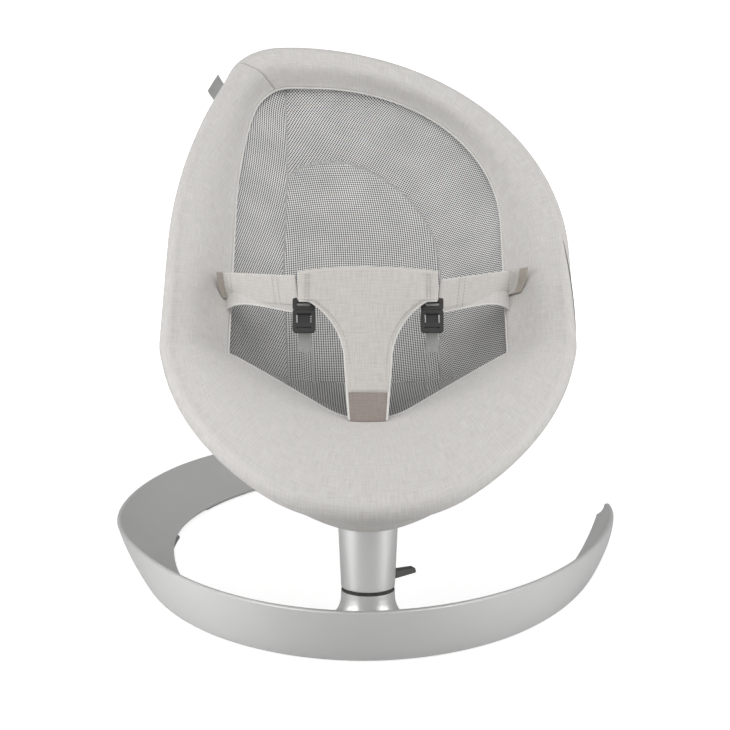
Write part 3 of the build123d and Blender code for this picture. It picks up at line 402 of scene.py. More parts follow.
def tubeMesh(name, path, radius, material, sides=10, closed=False):
    # a circle of points carried along a path; each ring stands across the path's tangent
    path = np.asarray(path, float)
    tangent = unitRows(np.roll(path, -1, 0) - np.roll(path, 1, 0) if closed else np.gradient(path, axis=0))
    helper = np.where(np.abs(tangent[:, 2:3]) > 0.9, [[1.0, 0, 0]], [[0, 0, 1.0]])
    across = unitRows(np.cross(tangent, helper))
    upright = np.cross(across, tangent)
    turn = np.linspace(0, 2 * pi, sides, endpoint=False)
    radii = np.broadcast_to(np.asarray(radius, float), (len(path),))[:, None, None]
    ring = across[:, None] * np.cos(turn)[:, None] + upright[:, None] * np.sin(turn)[:, None]
    grid = path[:, None] + radii * ring
    rows = len(path) + (1 if closed else 0)
    run = np.linspace(0, 1, rows) * stepLengths(path).sum() * mm
    girth = np.linspace(0, 2 * pi * float(np.max(radius)) * mm, sides + 1)
    cloth = np.stack(np.meshgrid(run, girth, indexing="ij"), -1)
    return gridMesh(name, grid, cloth, material, closedU=closed, closedV=True)


# helpers for sewn pieces
def smoothRun(points, sigma):
    # an open row of points blurred by a bell curve, its ends carried on in a straight line
    reach = int(4 * sigma) + 1
    k = np.arange(1, reach + 1)[:, None]
    first = points[0] + (points[0] - points[1]) * k[::-1]
    last = points[-1] + (points[-1] - points[-2]) * k
    padded = np.concatenate([first, points, last])
    bell = np.exp(-0.5 * (np.arange(-reach, reach + 1) / sigma) ** 2)
    bell = bell / bell.sum()
    return np.stack([np.convolve(column, bell, "valid") for column in padded.T], 1)


def smoothStep(low, high, values):
    # 0 below, 1 above, 3 t squared less 2 t cubed between
    share = np.clip((values - low) / (high - low), 0, 1)
    return share * share * (3 - 2 * share)


def ribbonMesh(
    name, path, widthWay, half, thick, material, sides=28, power=0.25, settle=None, slanted=False
):
    # a flat rounded section, |cos| and |sin| to a power, carried along a path; its ends taper shut
    tangent = unitRows(np.gradient(path, axis=0))
    wide = widthWay
    if not slanted:
        wide = unitRows(widthWay - tangent * np.einsum("ij,ij->i", widthWay, tangent)[:, None])
    face = unitRows(np.cross(tangent, wide))
    turn = np.linspace(0, 2 * pi, sides, endpoint=False)
    x = np.sign(np.cos(turn)) * np.abs(np.cos(turn)) ** power
    y = np.sign(np.sin(turn)) * np.abs(np.sin(turn)) ** (2 * power)
    steps = runLengths(path)
    ends = np.sqrt(np.clip(np.minimum(steps, steps[-1] - steps) / thick, 0.002, 1))
    half = np.broadcast_to(np.asarray(half, float), (len(path),))
    across = half[:, None] * x[None, :]
    middle = path[:, None] + across[..., None] * wide[:, None]
    grid = middle + (thick * ends[:, None] * y)[..., None] * face[:, None]
    if settle:
        grid = grid + settle(middle)
    across = np.concatenate([across, across[:, :1]], 1)
    cloth = np.stack([across, np.broadcast_to(steps[:, None], across.shape)], -1) * mm
    return gridMesh(name, grid, cloth, material, closedV=True), face, wide


stitch = dict(radius=0.32, pitch=3.0, length=2.2, edgePitch=3.2, edgeLength=2.3, edgeInset=4.2)


def stitchMesh(name, centres, ways, length, radius, material):
    # one closed spindle a stitch: rings of six points at five places along it, widest in the middle
    ways = unitRows(ways)
    helper = np.where(np.abs(ways[:, 2:3]) > 0.9, [[1.0, 0, 0]], [[0, 0, 1.0]])
    side = unitRows(np.cross(ways, helper))
    rise = np.cross(side, ways)
    place = np.array([-0.5, -0.4, 0, 0.4, 0.5])
    girth = np.array([0.05, 0.8, 1, 0.8, 0.05])
    turn = np.linspace(0, 2 * pi, 6, endpoint=False)
    ring = side[:, None, None] * np.cos(turn)[:, None] + rise[:, None, None] * np.sin(turn)[:, None]
    points = centres[:, None, None] + ways[:, None, None] * (place * length)[:, None, None]
    points = points + ring * (girth * radius)[:, None, None]
    u, v = (a.ravel() for a in np.meshgrid(np.arange(4), np.arange(6), indexing="ij"))
    one = np.stack([u * 6 + v, u * 6 + (v + 1) % 6, (u + 1) * 6 + (v + 1) % 6, (u + 1) * 6 + v], 1)
    quads = (np.arange(len(centres))[:, None, None] * 30 + one[None]).reshape(-1, 4)
    mesh = bpy.data.meshes.new(name)
    mesh.from_pydata((points.reshape(-1, 3) * mm).tolist(), [], quads.tolist())
    mesh.uv_layers.new(name="cloth")
    mesh.polygons.foreach_set("use_smooth", np.ones(len(quads), bool))
    mesh.materials.append(material)
    mesh.update()
    piece = bpy.data.objects.new(name, mesh)
    bpy.context.scene.collection.objects.link(piece)
    return piece


def stitchesAlong(name, path, pitch, length):
    # stitches at an even pitch, each along the chord of the path around it
    whole = stepLengths(path).sum()
    shares = (np.arange(int(whole / pitch)) + 0.5) * pitch / whole
    ways = evenPoints(path, np.minimum(shares + 0.01, 1)) - evenPoints(path, np.maximum(shares - 0.01, 0))
    return stitchMesh(name, evenPoints(path, shares), ways, length, stitch["radius"], threadLinen)


def gridCut(grid):
    # width, length and area of a grid of cloth, in metres: girth and run of its map, and its quads
    wide = np.linalg.norm(np.diff(grid, axis=1), axis=2).sum(1).max()
    far = np.linalg.norm(np.diff(grid, axis=0), axis=2).sum(0).max()
    across, down = np.diff(grid, axis=1), np.diff(grid, axis=0)
    cells = np.cross(across[:-1], down[:, :-1]), np.cross(across[1:], down[:, 1:])
    area = sum(np.linalg.norm(c, axis=2).sum() for c in cells) / 2
    return dict(flat=(wide * mm, far * mm), area=min(area * mm * mm, wide * far * mm * mm))


def sewn(piece, body="seat"):
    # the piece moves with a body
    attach(piece, body)
    return piece


# seat outline
seat = dict(
    foldY=-57, foldZ=256, backSlope=32.6, frontSlope=15.8,
    rimHalf=198, rimStraight=130, rimTipRadius=47, rimTipX=-100, rimCrownX=-92, rimTop=416,
    noseReach=251, noseRadius=130, noseTaper=12.5, noseStraight=34,
    hemHalf=145, hemStraight=200, hemTipRadius=45, hemTipX=-85, hemCrownX=-61, hemTop=387,
    hemNose=114, hemNoseRadius=60, dropBack=15, dropFront=5,
)
xAxis = np.array([1.0, 0, 0])
backDir = np.array([0, cos(radians(seat["backSlope"])), sin(radians(seat["backSlope"]))])
frontDir = np.array([0, -cos(radians(seat["frontSlope"])), -sin(radians(seat["frontSlope"]))])
backUp = np.cross(xAxis, backDir)
frontUp = np.cross(frontDir, xAxis)
foldPoint = np.array([0, seat["foldY"], seat["foldZ"]], float)


def arcRun(centre, radius, start, sweep):
    # circle arc: centre plus radius times (cos, sin), about a point each 1.5 mm
    turn = np.radians(start + sweep * np.linspace(0, 1, max(4, int(abs(radians(sweep)) * radius / 1.5))))
    return np.stack([centre[0] + radius * np.cos(turn), centre[1] + radius * np.sin(turn)], 1)


def leafOutline(edge):
    # straight side, an arc that touches the tip circle, the tip, and a quarter circle to the other side
    half, straight, tipRadius, tipX, crownX, top = (
        seat[edge + size] for size in ("Half", "Straight", "TipRadius", "TipX", "CrownX", "Top")
    )
    tipY = top - tipRadius
    reach = tipX + half
    sideRadius = (reach**2 + (straight - tipY) ** 2 - tipRadius**2) / (2 * (reach - tipRadius))
    touch = degrees(atan2(tipY - straight, tipX - sideRadius + half))
    crownRadius = half - crownX
    return np.concatenate([
        [(-half, 0)],
        arcRun((sideRadius - half, straight), sideRadius, 180, touch - 180),
        arcRun((tipX, tipY), tipRadius, touch, 90 - touch)[1:],
        arcRun((crownX, top - crownRadius), crownRadius, 90, -90),
        [(half, 0)],
    ])


def noseOutline():
    # tapered straight, a wide side arc and the nose circle, mirrored; from the right corner to the left
    taper = radians(seat["noseTaper"])
    radius = seat["noseRadius"]
    centreY = seat["noseReach"] - radius
    endX = seat["rimHalf"] - seat["noseStraight"] * sin(taper)
    endY = seat["noseStraight"] * cos(taper)
    across = endX * cos(taper) + (endY - centreY) * sin(taper)
    sideRadius = (endX**2 + (endY - centreY) ** 2 - radius**2) / (2 * (across - radius))
    side = (endX - sideRadius * cos(taper), endY - sideRadius * sin(taper))
    touch = degrees(atan2(centreY - side[1], -side[0]))
    half = np.concatenate([
        [(seat["rimHalf"], 0)],
        arcRun(side, sideRadius, seat["noseTaper"], touch - seat["noseTaper"]),
        arcRun((0, centreY), radius, touch, 90 - touch)[1:],
    ])
    return np.concatenate([half, (half * [-1, 1])[-2::-1]])


def hemNoseOutline():
    # two straight lines that touch the nose circle of the mesh
    radius, centreY = seat["hemNoseRadius"], seat["hemNose"] - seat["hemNoseRadius"]
    spread = degrees(acos(radius / hypot(seat["hemHalf"], centreY)))
    touch = spread - degrees(atan2(centreY, seat["hemHalf"]))
    half = np.concatenate([[(seat["hemHalf"], 0)], arcRun((0, centreY), radius, touch, 90 - touch)])
    return np.concatenate([half, (half * [-1, 1])[-2::-1]])


def onBack(flat, drop=0.0):
    # flat points laid on the plane of the back, less a drop along its normal
    return foldPoint + flat[:, :1] * xAxis + flat[:, 1:2] * backDir - drop * backUp


def onFront(flat, drop=0.0):
    # the same on the plane of the front
    return foldPoint + flat[:, :1] * xAxis + flat[:, 1:2] * frontDir - drop * frontUp


rimBack = onBack(leafOutline("rim"))
hemBack = onBack(leafOutline("hem"), seat["dropBack"])
rimFront = onFront(noseOutline())
hemFront = onFront(hemNoseOutline(), seat["dropFront"])
loopSteps = dict(back=360, front=250)
seamLine = dict(share=0.4014, clear=0.0024, lean=0.0125, spread=0.03, depth=1.3, width=0.9, thread=0.35)
seamSteps = np.array([-2.4, -1.4, -0.8, -0.4, 0, 0.4, 0.8, 1.4, 2.4]) / 1150
backShares = np.linspace(0, 1, loopSteps["back"], endpoint=False)
clearShares = backShares[np.abs(backShares - seamLine["share"]) > seamLine["clear"]]
backShares = np.sort(np.concatenate([clearShares, seamLine["share"] + seamSteps]))
loopSteps["back"] = len(backShares)
frontShares = np.linspace(0, 1, loopSteps["front"], endpoint=False)
seamLean = seamLine["lean"] * np.exp(-(((backShares - seamLine["share"]) / seamLine["spread"]) ** 2))
rimLoop = np.concatenate([evenPoints(rimBack, backShares - seamLean), evenPoints(rimFront, frontShares)])
hemLoop = np.concatenate([evenPoints(hemBack, backShares + seamLean), evenPoints(hemFront, frontShares)])
upLoop = np.repeat([backUp, frontUp], [loopSteps["back"], loopSteps["front"]], axis=0)
rimLoop = smoothLoop(rimLoop, 2.0)
hemLoop = smoothLoop(hemLoop, 3.0)
upLoop = unitRows(smoothLoop(upLoop, 9.0))

# padded border round the rim
border = dict(
    wrapRadius=11.7, wrapFrom=288, innerRadius=8.6, lift=4.6, rise=0.12, fall=-0.2, hemRound=3.2, pad=4.6,
    pipe=1.15, wrapSteps=18, crownSteps=30, hemSteps=6,
)
inwardLoop = unitRows(hemLoop - rimLoop)
uprightLoop = unitRows(upLoop - inwardLoop * np.einsum("ij,ij->i", upLoop, inwardLoop)[:, None])


def borderGrid():
    # profile in the plane of rim point, hem point and seat normal: round the tube, over a crowned pad
    # (Hermite curve from tube top to hem plus a sine swell), round the hem and back inside
    reach = np.linalg.norm(hemLoop - rimLoop, axis=1, keepdims=True)
    turn = np.radians(np.linspace(border["wrapFrom"], 90, border["wrapSteps"]))
    zero = np.zeros_like(reach)
    wrapX = zero + border["wrapRadius"] * np.cos(turn)
    wrapY = zero + border["wrapRadius"] * np.sin(turn)
    s = np.linspace(0, 1, border["crownSteps"])[1:]

    def padTop(share):
        hermite = (2 * share**3 - 3 * share**2 + 1) * border["wrapRadius"]
        hermite = hermite + (3 * share**2 - 2 * share**3) * border["hemRound"]
        slopes = (share**3 - 2 * share**2 + share) * border["rise"] + (share**3 - share**2) * border["fall"]
        return hermite + reach * slopes + border["lift"] * np.sin(pi * share) ** 1.3

    crownX, crownY = reach * s, padTop(s)
    bend = np.radians(np.linspace(70, -90, border["hemSteps"]))
    hemX = reach + border["hemRound"] * np.cos(bend)
    hemY = zero + border["hemRound"] * np.sin(bend)
    r = np.linspace(0.97, 0.03, 12)
    underX = reach * r
    underY = padTop(r) - border["pad"] * np.minimum(1, (1 - r) * 9 + 0.7)
    back = np.radians(np.linspace(95, border["wrapFrom"], 12))
    innerX = zero + border["innerRadius"] * np.cos(back)
    innerY = zero + border["innerRadius"] * np.sin(back)
    alongX = np.concatenate([wrapX, crownX, hemX, underX, innerX], 1)
    alongY = np.concatenate([wrapY, crownY, hemY, underY, innerY], 1)
    points = rimLoop[:, None] + alongX[..., None] * inwardLoop[:, None]
    return points + alongY[..., None] * uprightLoop[:, None]


def closedMap(grid):
    # map in metres: length along the loop and girth round the profile, with the closing row and column
    ring = np.concatenate([grid, grid[:1]], 0)
    ring = np.concatenate([ring, ring[:, :1]], 1)
    run = runLengths(ring[:, 24])
    girth = girthLengths(ring)
    return np.stack([np.broadcast_to(run[:, None], girth.shape), girth], -1) * mm


borderPoints = borderGrid()
borderCloth = closedMap(borderPoints)
crownFirst = border["wrapSteps"]  # first profile column past the tube
hemColumn = crownFirst + border["crownSteps"] - 3  # just above the hem
skin = crownFirst + border["crownSteps"] + 3  # columns of the outer face
loopWay = np.roll(borderPoints, -1, 0) - np.roll(borderPoints, 1, 0)
borderNormal = unitRows(np.cross(loopWay, np.gradient(borderPoints, axis=1)))
borderNormal = borderNormal * np.sign(np.einsum("ij,ij->i", borderNormal[:, 32], upLoop))[:, None, None]
seamRow = int(np.argmin(np.abs(backShares - seamLine["share"])))
fromSeam = (borderCloth[:-1, 0, 0] - borderCloth[seamRow, 0, 0]) / mm
groove = seamLine["depth"] * np.exp(-((fromSeam / seamLine["width"]) ** 2))
borderPoints[:, :skin] -= groove[:, None, None] * borderNormal[:, :skin]
seatBorder = gridMesh("seatBorder", borderPoints, borderCloth, linenCover, closedU=True, closedV=True)
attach(seatBorder, "seat")
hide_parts("seat_border")
seamPath = borderPoints[seamRow, 4:skin] + borderNormal[seamRow, 4:skin] * 0.1
sewn(tubeMesh("borderSeam", seamPath, seamLine["thread"], threadLinen, sides=6))
hemPath = hemLoop + inwardLoop * (border["hemRound"] + 0.5) + uprightLoop * 0.9
sewn(tubeMesh("hemPiping", hemPath, border["pipe"], paleBinding, sides=8, closed=True))

# fastener that closes the cover: a dark line low on the outer side of the right edge
fastener = dict(shares=(0.872, 0.992), profile=(13.4, 6.6), radius=0.75, proud=0.15)
fastRows = np.flatnonzero((backShares > fastener["shares"][0]) & (backShares < fastener["shares"][1]))
fastAcross = np.linspace(*fastener["profile"], len(fastRows))
low = np.floor(fastAcross).astype(int)
part = (fastAcross - low)[:, None]
fastPath = borderPoints[fastRows, low] * (1 - part) + borderPoints[fastRows, low + 1] * part
fastPath = fastPath + borderNormal[fastRows, low] * fastener["proud"]
fastRadius = fastener["radius"] * np.sqrt(np.sin(pi * np.linspace(0.02, 0.98, len(fastRows))))
sewn(tubeMesh("coverFastener", smoothRun(fastPath, 2.0), fastRadius, darkTape, sides=8))
print("border done")

# mesh bowl and back panel
bowl = dict(
    depth=50, fullness=0.8, square=2.5, drop=2.6, tuck=3.0, thick=1.4, blend=90,
    across=204, along=(140, 88), ends=(0.06, 0.08),
)
panel = dict(
    depth=107, fullness=0.55, square=2.0, drop=8.4, tuck=-1.0, thick=2.0, steepest=0.8,
    across=150, along=(96, 64), ends=(0.015, 0.02), mouth=(92, 130), mouthY=-183.0, hem=2.6,
)


def hungGrid(backEdge, frontEdge, form, steepest=None):
    # between opposite points of the edge: sag times (1 - |q| to a power) across, sine to a power along
    shares = 0.5 - 0.5 * np.linspace(form["ends"][0], 1, form["along"][0]) ** 1.4
    frontPart = 0.5 * (1 - np.linspace(1, form["ends"][1], form["along"][1]) ** 1.2)[1:]
    left = np.concatenate([evenPoints(backEdge, shares), evenPoints(frontEdge, 1 - frontPart)])
    right = np.concatenate([evenPoints(backEdge, 1 - shares), evenPoints(frontEdge, frontPart)])
    centre = (left + right) / 2
    across = unitRows(right - left)
    half = np.linalg.norm(right - left, axis=1, keepdims=True) / 2 + form["tuck"]
    share = smoothStep(-1, 1, (centre[:, 1:2] - seat["foldY"]) / bowl["blend"])
    upright = backUp * share + frontUp * (1 - share)
    upright = unitRows(upright - across * np.einsum("ij,ij->i", upright, across)[:, None])
    along = (centre[:, 1:2] - centre[-1, 1]) / (centre[:, 1].max() - centre[-1, 1])
    sag = 2 + form["depth"] * np.sin(pi * np.clip(along, 0, 1)) ** form["fullness"]
    if steepest:
        sag = np.minimum(sag, steepest * half)
    q = np.linspace(-1, 1, form["across"])[None, :]
    down = form["drop"] + sag * (1 - np.abs(q) ** form["square"])
    return centre[:, None] + (half * q)[..., None] * across[:, None] - down[..., None] * upright[:, None]


def openMap(grid):
    # map in metres: girth from the middle of each row, and the run of the middle column
    run = runLengths(grid[:, grid.shape[1] // 2])
    girth = girthLengths(grid)
    girth = girth - girth[:, -1:] / 2
    return np.stack([girth, np.broadcast_to(run[:, None], girth.shape)], -1) * mm


def inPicture(points):
    # where a point lands in the picture, in pixels: the camera's own projection
    depth = 2128 + 0.9385 * points[..., 1] - 0.3453 * points[..., 2]
    rise = -204.6 + 0.3453 * points[..., 1] + 0.9385 * points[..., 2]
    return np.stack([368 + 1980 * points[..., 0] / depth, 365 - 1980 * rise / depth], -1)


def lineDistance(points, line):
    # distance of each point to the nearest piece of a polyline
    flat = points.reshape(-1, 1, 2)
    a, b = line[None, :-1], line[None, 1:]
    share = np.clip(np.sum((flat - a) * (b - a), -1) / np.sum((b - a) ** 2, -1), 0, 1)
    distance = np.linalg.norm(flat - a - share[..., None] * (b - a), axis=-1)
    return np.min(distance, 1).reshape(points.shape[:-1])


seams = dict(
    arc=[
        (289, 176), (300, 167), (316, 162), (335, 160), (368, 169),
        (400, 190), (421, 214), (435, 240), (440, 275),
    ],
    crease=[(285, 80), (287, 130), (288, 172), (284, 270), (286, 320), (289, 385)],
    right=[(440, 275), (446, 318), (453, 378)],
    lowLeft=[(309, 318), (312, 345), (316, 405)],
    lowRight=[(431, 318), (427, 352), (425, 405)],
    width=1.0, depth=1.3, hemBand=9.0, bandFrom=330, puff=1.6, puffWidth=9.0,
)


def seamMarks(grid):
    # seams: a bell of the distance to each seam line in the picture; the cloth swells between them;
    # turn: which way the mesh runs in each panel
    spots = inPicture(grid)
    lines = (np.array(seams[name], float) for name in ("arc", "crease", "right", "lowLeft", "lowRight"))
    lines = (smoothRun(evenPoints(line, np.linspace(0, 1, 40)), 1.5) for line in lines)
    distance = np.min([lineDistance(spots, line) for line in lines], axis=0)
    hem = lineDistance(spots, inPicture(hemFront[::4]))
    band = np.where(spots[..., 1] > seams["bandFrom"], np.abs(hem - seams["hemBand"]), 99)
    mask = np.exp(-((np.minimum(distance, band) / seams["width"]) ** 2))
    swell = 1 - np.exp(-((distance / seams["puffWidth"]) ** 2))
    creaseX = np.interp(spots[..., 1], *np.array(seams["crease"], float).T[::-1])
    arcY = np.interp(spots[..., 0], *np.array(seams["arc"], float).T)
    inArc = (spots[..., 1] > arcY) & (spots[..., 0] < seams["arc"][-1][0])
    turn = np.where(spots[..., 0] < creaseX, 1.0, np.where(inArc, 2.0, 0.0))
    return mask, swell, turn


bowlPoints = hungGrid(hemBack, hemFront, bowl)
seamMask, seamSwell, meshTurn = seamMarks(bowlPoints)
bowlNormal = unitRows(np.cross(np.gradient(bowlPoints, axis=1), np.gradient(bowlPoints, axis=0)))
bowlNormal = bowlNormal * np.sign(bowlNormal[..., 2:3])
bowlCloth = openMap(bowlPoints)
seamRise = seams["puff"] * (seamSwell - 1) - seams["depth"] * seamMask
bowlPoints = bowlPoints + bowlNormal * seamRise[..., None]
# painted shade: the mesh's colour is darkened towards the front, low end of the bowl, standing in for the
# shade deep in the seat
meshPaintedShade = smoothStep(120, -60, bowlPoints[..., 1]) * 0.85
meshMarks = dict(seam=seamMask, turn=meshTurn, paintedShade=meshPaintedShade)
seatMesh = gridMesh("seatMesh", bowlPoints, bowlCloth, spacerMesh, marks=meshMarks)
thicken(seatMesh, bowl["thick"])
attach(seatMesh, "seat")
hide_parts("seat_mesh")
panelPoints = hungGrid(rimBack, rimFront, panel, panel["steepest"])
panelCloth = openMap(panelPoints)


def mouthDistance(points):
    # signed distance in plan to a slot: a segment along y with round ends, less its half width
    width, length = panel["mouth"]
    past = np.maximum(np.abs(points[..., 1] - panel["mouthY"]) - (length - width) / 2, 0)
    return np.hypot(points[..., 0], past) - width / 2


def cutMouth(points):
    # faces inside the slot go; the corners left on its edge slide along the cloth onto the slot line
    inside = mouthDistance(points)
    mean = (inside[:-1, :-1] + inside[1:, :-1] + inside[:-1, 1:] + inside[1:, 1:]) / 4
    gone = mean < 0
    around = np.pad(gone, 1)
    touching = np.stack([around[:-1, :-1], around[1:, :-1], around[:-1, 1:], around[1:, 1:]])
    edge = touching.any(0) & ~touching.all(0)
    step = 0.05
    slopeX = (mouthDistance(points + [step, 0, 0]) - inside) / step
    slopeY = (mouthDistance(points + [0, step, 0]) - inside) / step
    moveX, moveY = -inside * slopeX, -inside * slopeY
    wayU, wayV = np.gradient(points, axis=0), np.gradient(points, axis=1)
    area = wayU[..., 0] * wayV[..., 1] - wayU[..., 1] * wayV[..., 0]
    shareU = (moveX * wayV[..., 1] - moveY * wayV[..., 0]) / area
    shareV = (wayU[..., 0] * moveY - wayU[..., 1] * moveX) / area
    slid = points + shareU[..., None] * wayU + shareV[..., None] * wayV
    made = np.where(edge[..., None], slid, points)
    rim = made[edge]
    rim = rim[np.argsort(np.arctan2(rim[:, 1] - panel["mouthY"], rim[:, 0]))]
    ring = evenPoints(np.concatenate([rim, rim[:1]]), np.linspace(0, 1, 120, endpoint=False))
    return made, ~gone, smoothLoop(ring, 2.0)


panelCut = gridCut(panelPoints)
mouthWidth, mouthLength = panel["mouth"]
panelCut["area"] -= (mouthWidth * (mouthLength - mouthWidth) + pi * mouthWidth**2 / 4) * mm * mm
panelPoints, panelKeep, mouthPath = cutMouth(panelPoints)
backPanel = gridMesh("backPanel", panelPoints, panelCloth, linenCover, keep=panelKeep)
thicken(backPanel, panel["thick"])
panelHem = tubeMesh("panelHem", mouthPath, panel["hem"], linenCover, sides=12, closed=True)
sewn(panelHem)
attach(backPanel, "seat")
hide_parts("back_panel")
print("mesh bowl and back panel done")

# bare tag: a folded ribbon whose inner edge is caught under the wrap of the border
tag = dict(inner=(0.335, 0.3605), outer=(0.3445, 0.37), reach=(9.6, 22.5), lift=2.4, thick=1.1)
u, v = np.linspace(0, 1, 16)[:, None], np.linspace(0, 1, 12)[None, :]
innerShare, outerShare = (tag[edge][0] * (1 - u) + tag[edge][1] * u for edge in ("inner", "outer"))
tagShare = innerShare * (1 - v) + outerShare * v
tagEdge = evenPoints(rimBack, tagShare.ravel()).reshape(16, 12, 3)
tagAlong = unitRows(evenPoints(rimBack, tagShare.ravel() + 0.004).reshape(16, 12, 3) - tagEdge)
tagOut = np.cross(backUp, tagAlong)
tagReach = tag["reach"][0] + (tag["reach"][1] - tag["reach"][0]) * v
tagRise = tag["lift"] * v**2
tagPoints = tagEdge + tagOut * (tagReach + 0 * u)[..., None] + backUp * (tagRise + 0 * u)[..., None]
labelTag = gridMesh("labelTag", tagPoints, openMap(tagPoints), tagRibbon)
thicken(labelTag, tag["thick"])
sewn(labelTag)
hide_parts("label_tag")

# crotch pad: a T with hollowed shoulders, piping and a strap at its foot
pad = dict(
    foot=(-114.5, -32.5), head=(-38, 94), barHalf=68, barHeight=30, crown=5, stemHalf=18,
    waistHalf=22, waistHeight=56, shoulderHalf=56, half=3.4, swell=1.0, start=27, sides=64, pipe=1.25,
    footThick=2.0, footInset=0.4, footFlare=0.07, stitchX=(57.0, 60.5),
)
padFoot = foldPoint + np.array([0, *pad["foot"]])
padRise = np.array([0, pad["head"][0] - pad["foot"][0], pad["head"][1] - pad["foot"][1]])
padLength = float(np.linalg.norm(padRise))
padUp = padRise / padLength
padOut = np.cross(xAxis, padUp)
barLow = padLength - pad["barHeight"]


def circleThrough(first, second, third):
    # centre and radius of the circle through three points
    rows = 2 * np.array([np.subtract(second, first), np.subtract(third, first)])
    sums = np.array([np.dot(point, point) - np.dot(first, first) for point in (second, third)])
    centre = np.linalg.solve(rows, sums)
    return centre, float(np.linalg.norm(centre - first))


def padWidth(height):
    # half width: a straight stem, a hollow circle arc up to the shoulder, a short step out to the bar
    waist, shoulder = (pad["waistHalf"], pad["waistHeight"]), (pad["shoulderHalf"], barLow)
    hollow = ((waist[0] + shoulder[0]) / 2 - 6, (waist[1] + shoulder[1]) / 2 + 8)
    centre, radius = circleThrough(waist, hollow, shoulder)
    stem = pad["stemHalf"] + (pad["waistHalf"] - pad["stemHalf"]) * height / pad["waistHeight"]
    arc = centre[0] - np.sqrt(np.maximum(radius**2 - (height - centre[1]) ** 2, 0))
    low = np.where(height < pad["waistHeight"], stem, arc)
    step = smoothStep(barLow - 0.2, barLow + 1.4, height)
    bar = pad["shoulderHalf"] + (pad["barHalf"] - pad["shoulderHalf"]) * step
    return np.where(height < barLow - 0.2, low, bar)


def onPad(x, height, out):
    # a point across, up and out from the foot of the pad
    return padFoot + x[..., None] * xAxis + height[..., None] * padUp + out[..., None] * padOut


def padGrid():
    # superellipse section of the half width and thickness at each height, the top edge crowned
    rows = np.concatenate([
        np.linspace(pad["start"], barLow - 6, 60),
        np.linspace(barLow - 6, barLow + 3, 30)[1:],
        np.linspace(barLow + 3, padLength, 30)[1:],
    ])
    turn = np.linspace(0, 2 * pi, pad["sides"], endpoint=False)
    q = np.sign(np.cos(turn)) * np.abs(np.cos(turn)) ** 0.35
    face = np.sign(np.sin(turn)) * np.abs(np.sin(turn)) ** 0.55
    width = padWidth(rows)[:, None]
    lift = pad["crown"] * (1 - q**2)[None, :] * smoothStep(barLow, padLength, rows)[:, None]
    ends = np.sqrt(np.clip(np.minimum(rows - pad["start"], padLength - rows) / 3.2, 0.002, 1))[:, None]
    full = pad["half"] + pad["swell"] * (1 - q**2)[None, :] * smoothStep(40, barLow, rows)[:, None]
    return onPad(width * q, rows[:, None] + lift, full * ends * face), width * q, rows[:, None] + lift


padPoints, padX, padH = padGrid()
padCloth = np.stack([padX, padH + 0 * padX], -1) * mm
padCloth = np.concatenate([padCloth, padCloth[:, :1]], 1)
crotchPad = gridMesh("crotchPad", padPoints, padCloth, harnessLinen, closedV=True)
sewn(crotchPad)
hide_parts("crotch_pad")
footRun = np.linspace(-1.5, pad["start"] + 10, 24)
footPath = onPad(np.zeros(24), footRun, -0.4 + 0 * footRun)
footHalf = pad["stemHalf"] - pad["footInset"] + footRun * pad["footFlare"]
footStrap, _, _ = ribbonMesh(
    "padFootStrap", footPath, np.broadcast_to(xAxis, (24, 3)), footHalf, pad["footThick"], footLinen
)
sewn(footStrap)
edgeHeights = np.concatenate([np.linspace(1, barLow - 6, 50), np.linspace(barLow - 6, barLow - 0.3, 20)[1:]])
for side, hand in ((-1, "Left"), (1, "Right")):
    edge = onPad(side * padWidth(edgeHeights), edgeHeights, 0.6 + 0 * edgeHeights)
    outerX = side * np.linspace(pad["shoulderHalf"] + 2, pad["barHalf"] - 1, 8)
    outer = onPad(outerX, np.full(8, barLow + 0.4), np.full(8, 0.6))
    pipePath = smoothRun(evenPoints(np.concatenate([edge, outer]), np.linspace(0, 1, 110)), 1.2)
    sewn(tubeMesh("padPiping" + hand, pipePath, pad["pipe"], paleBinding, sides=8))
    innerX = side * (padWidth(edgeHeights) - stitch["edgeInset"])
    inner = onPad(innerX, edgeHeights, pad["half"] * 0.93 + 0 * edgeHeights)[24:]
    stitches = stitchesAlong("padEdgeStitches" + hand, inner, stitch["edgePitch"], stitch["edgeLength"])
    sewn(stitches)
    for index, x in enumerate(pad["stitchX"]):
        rise = np.linspace(barLow + 2.5, padLength - 1.5, 12)
        line = onPad(np.full(12, side * x), rise, pad["half"] + 0.18 + 0 * rise)
        stitches = stitchesAlong(f"padBarStitches{hand}{index}", line, stitch["pitch"], stitch["length"])
        sewn(stitches)
print("crotch pad done")

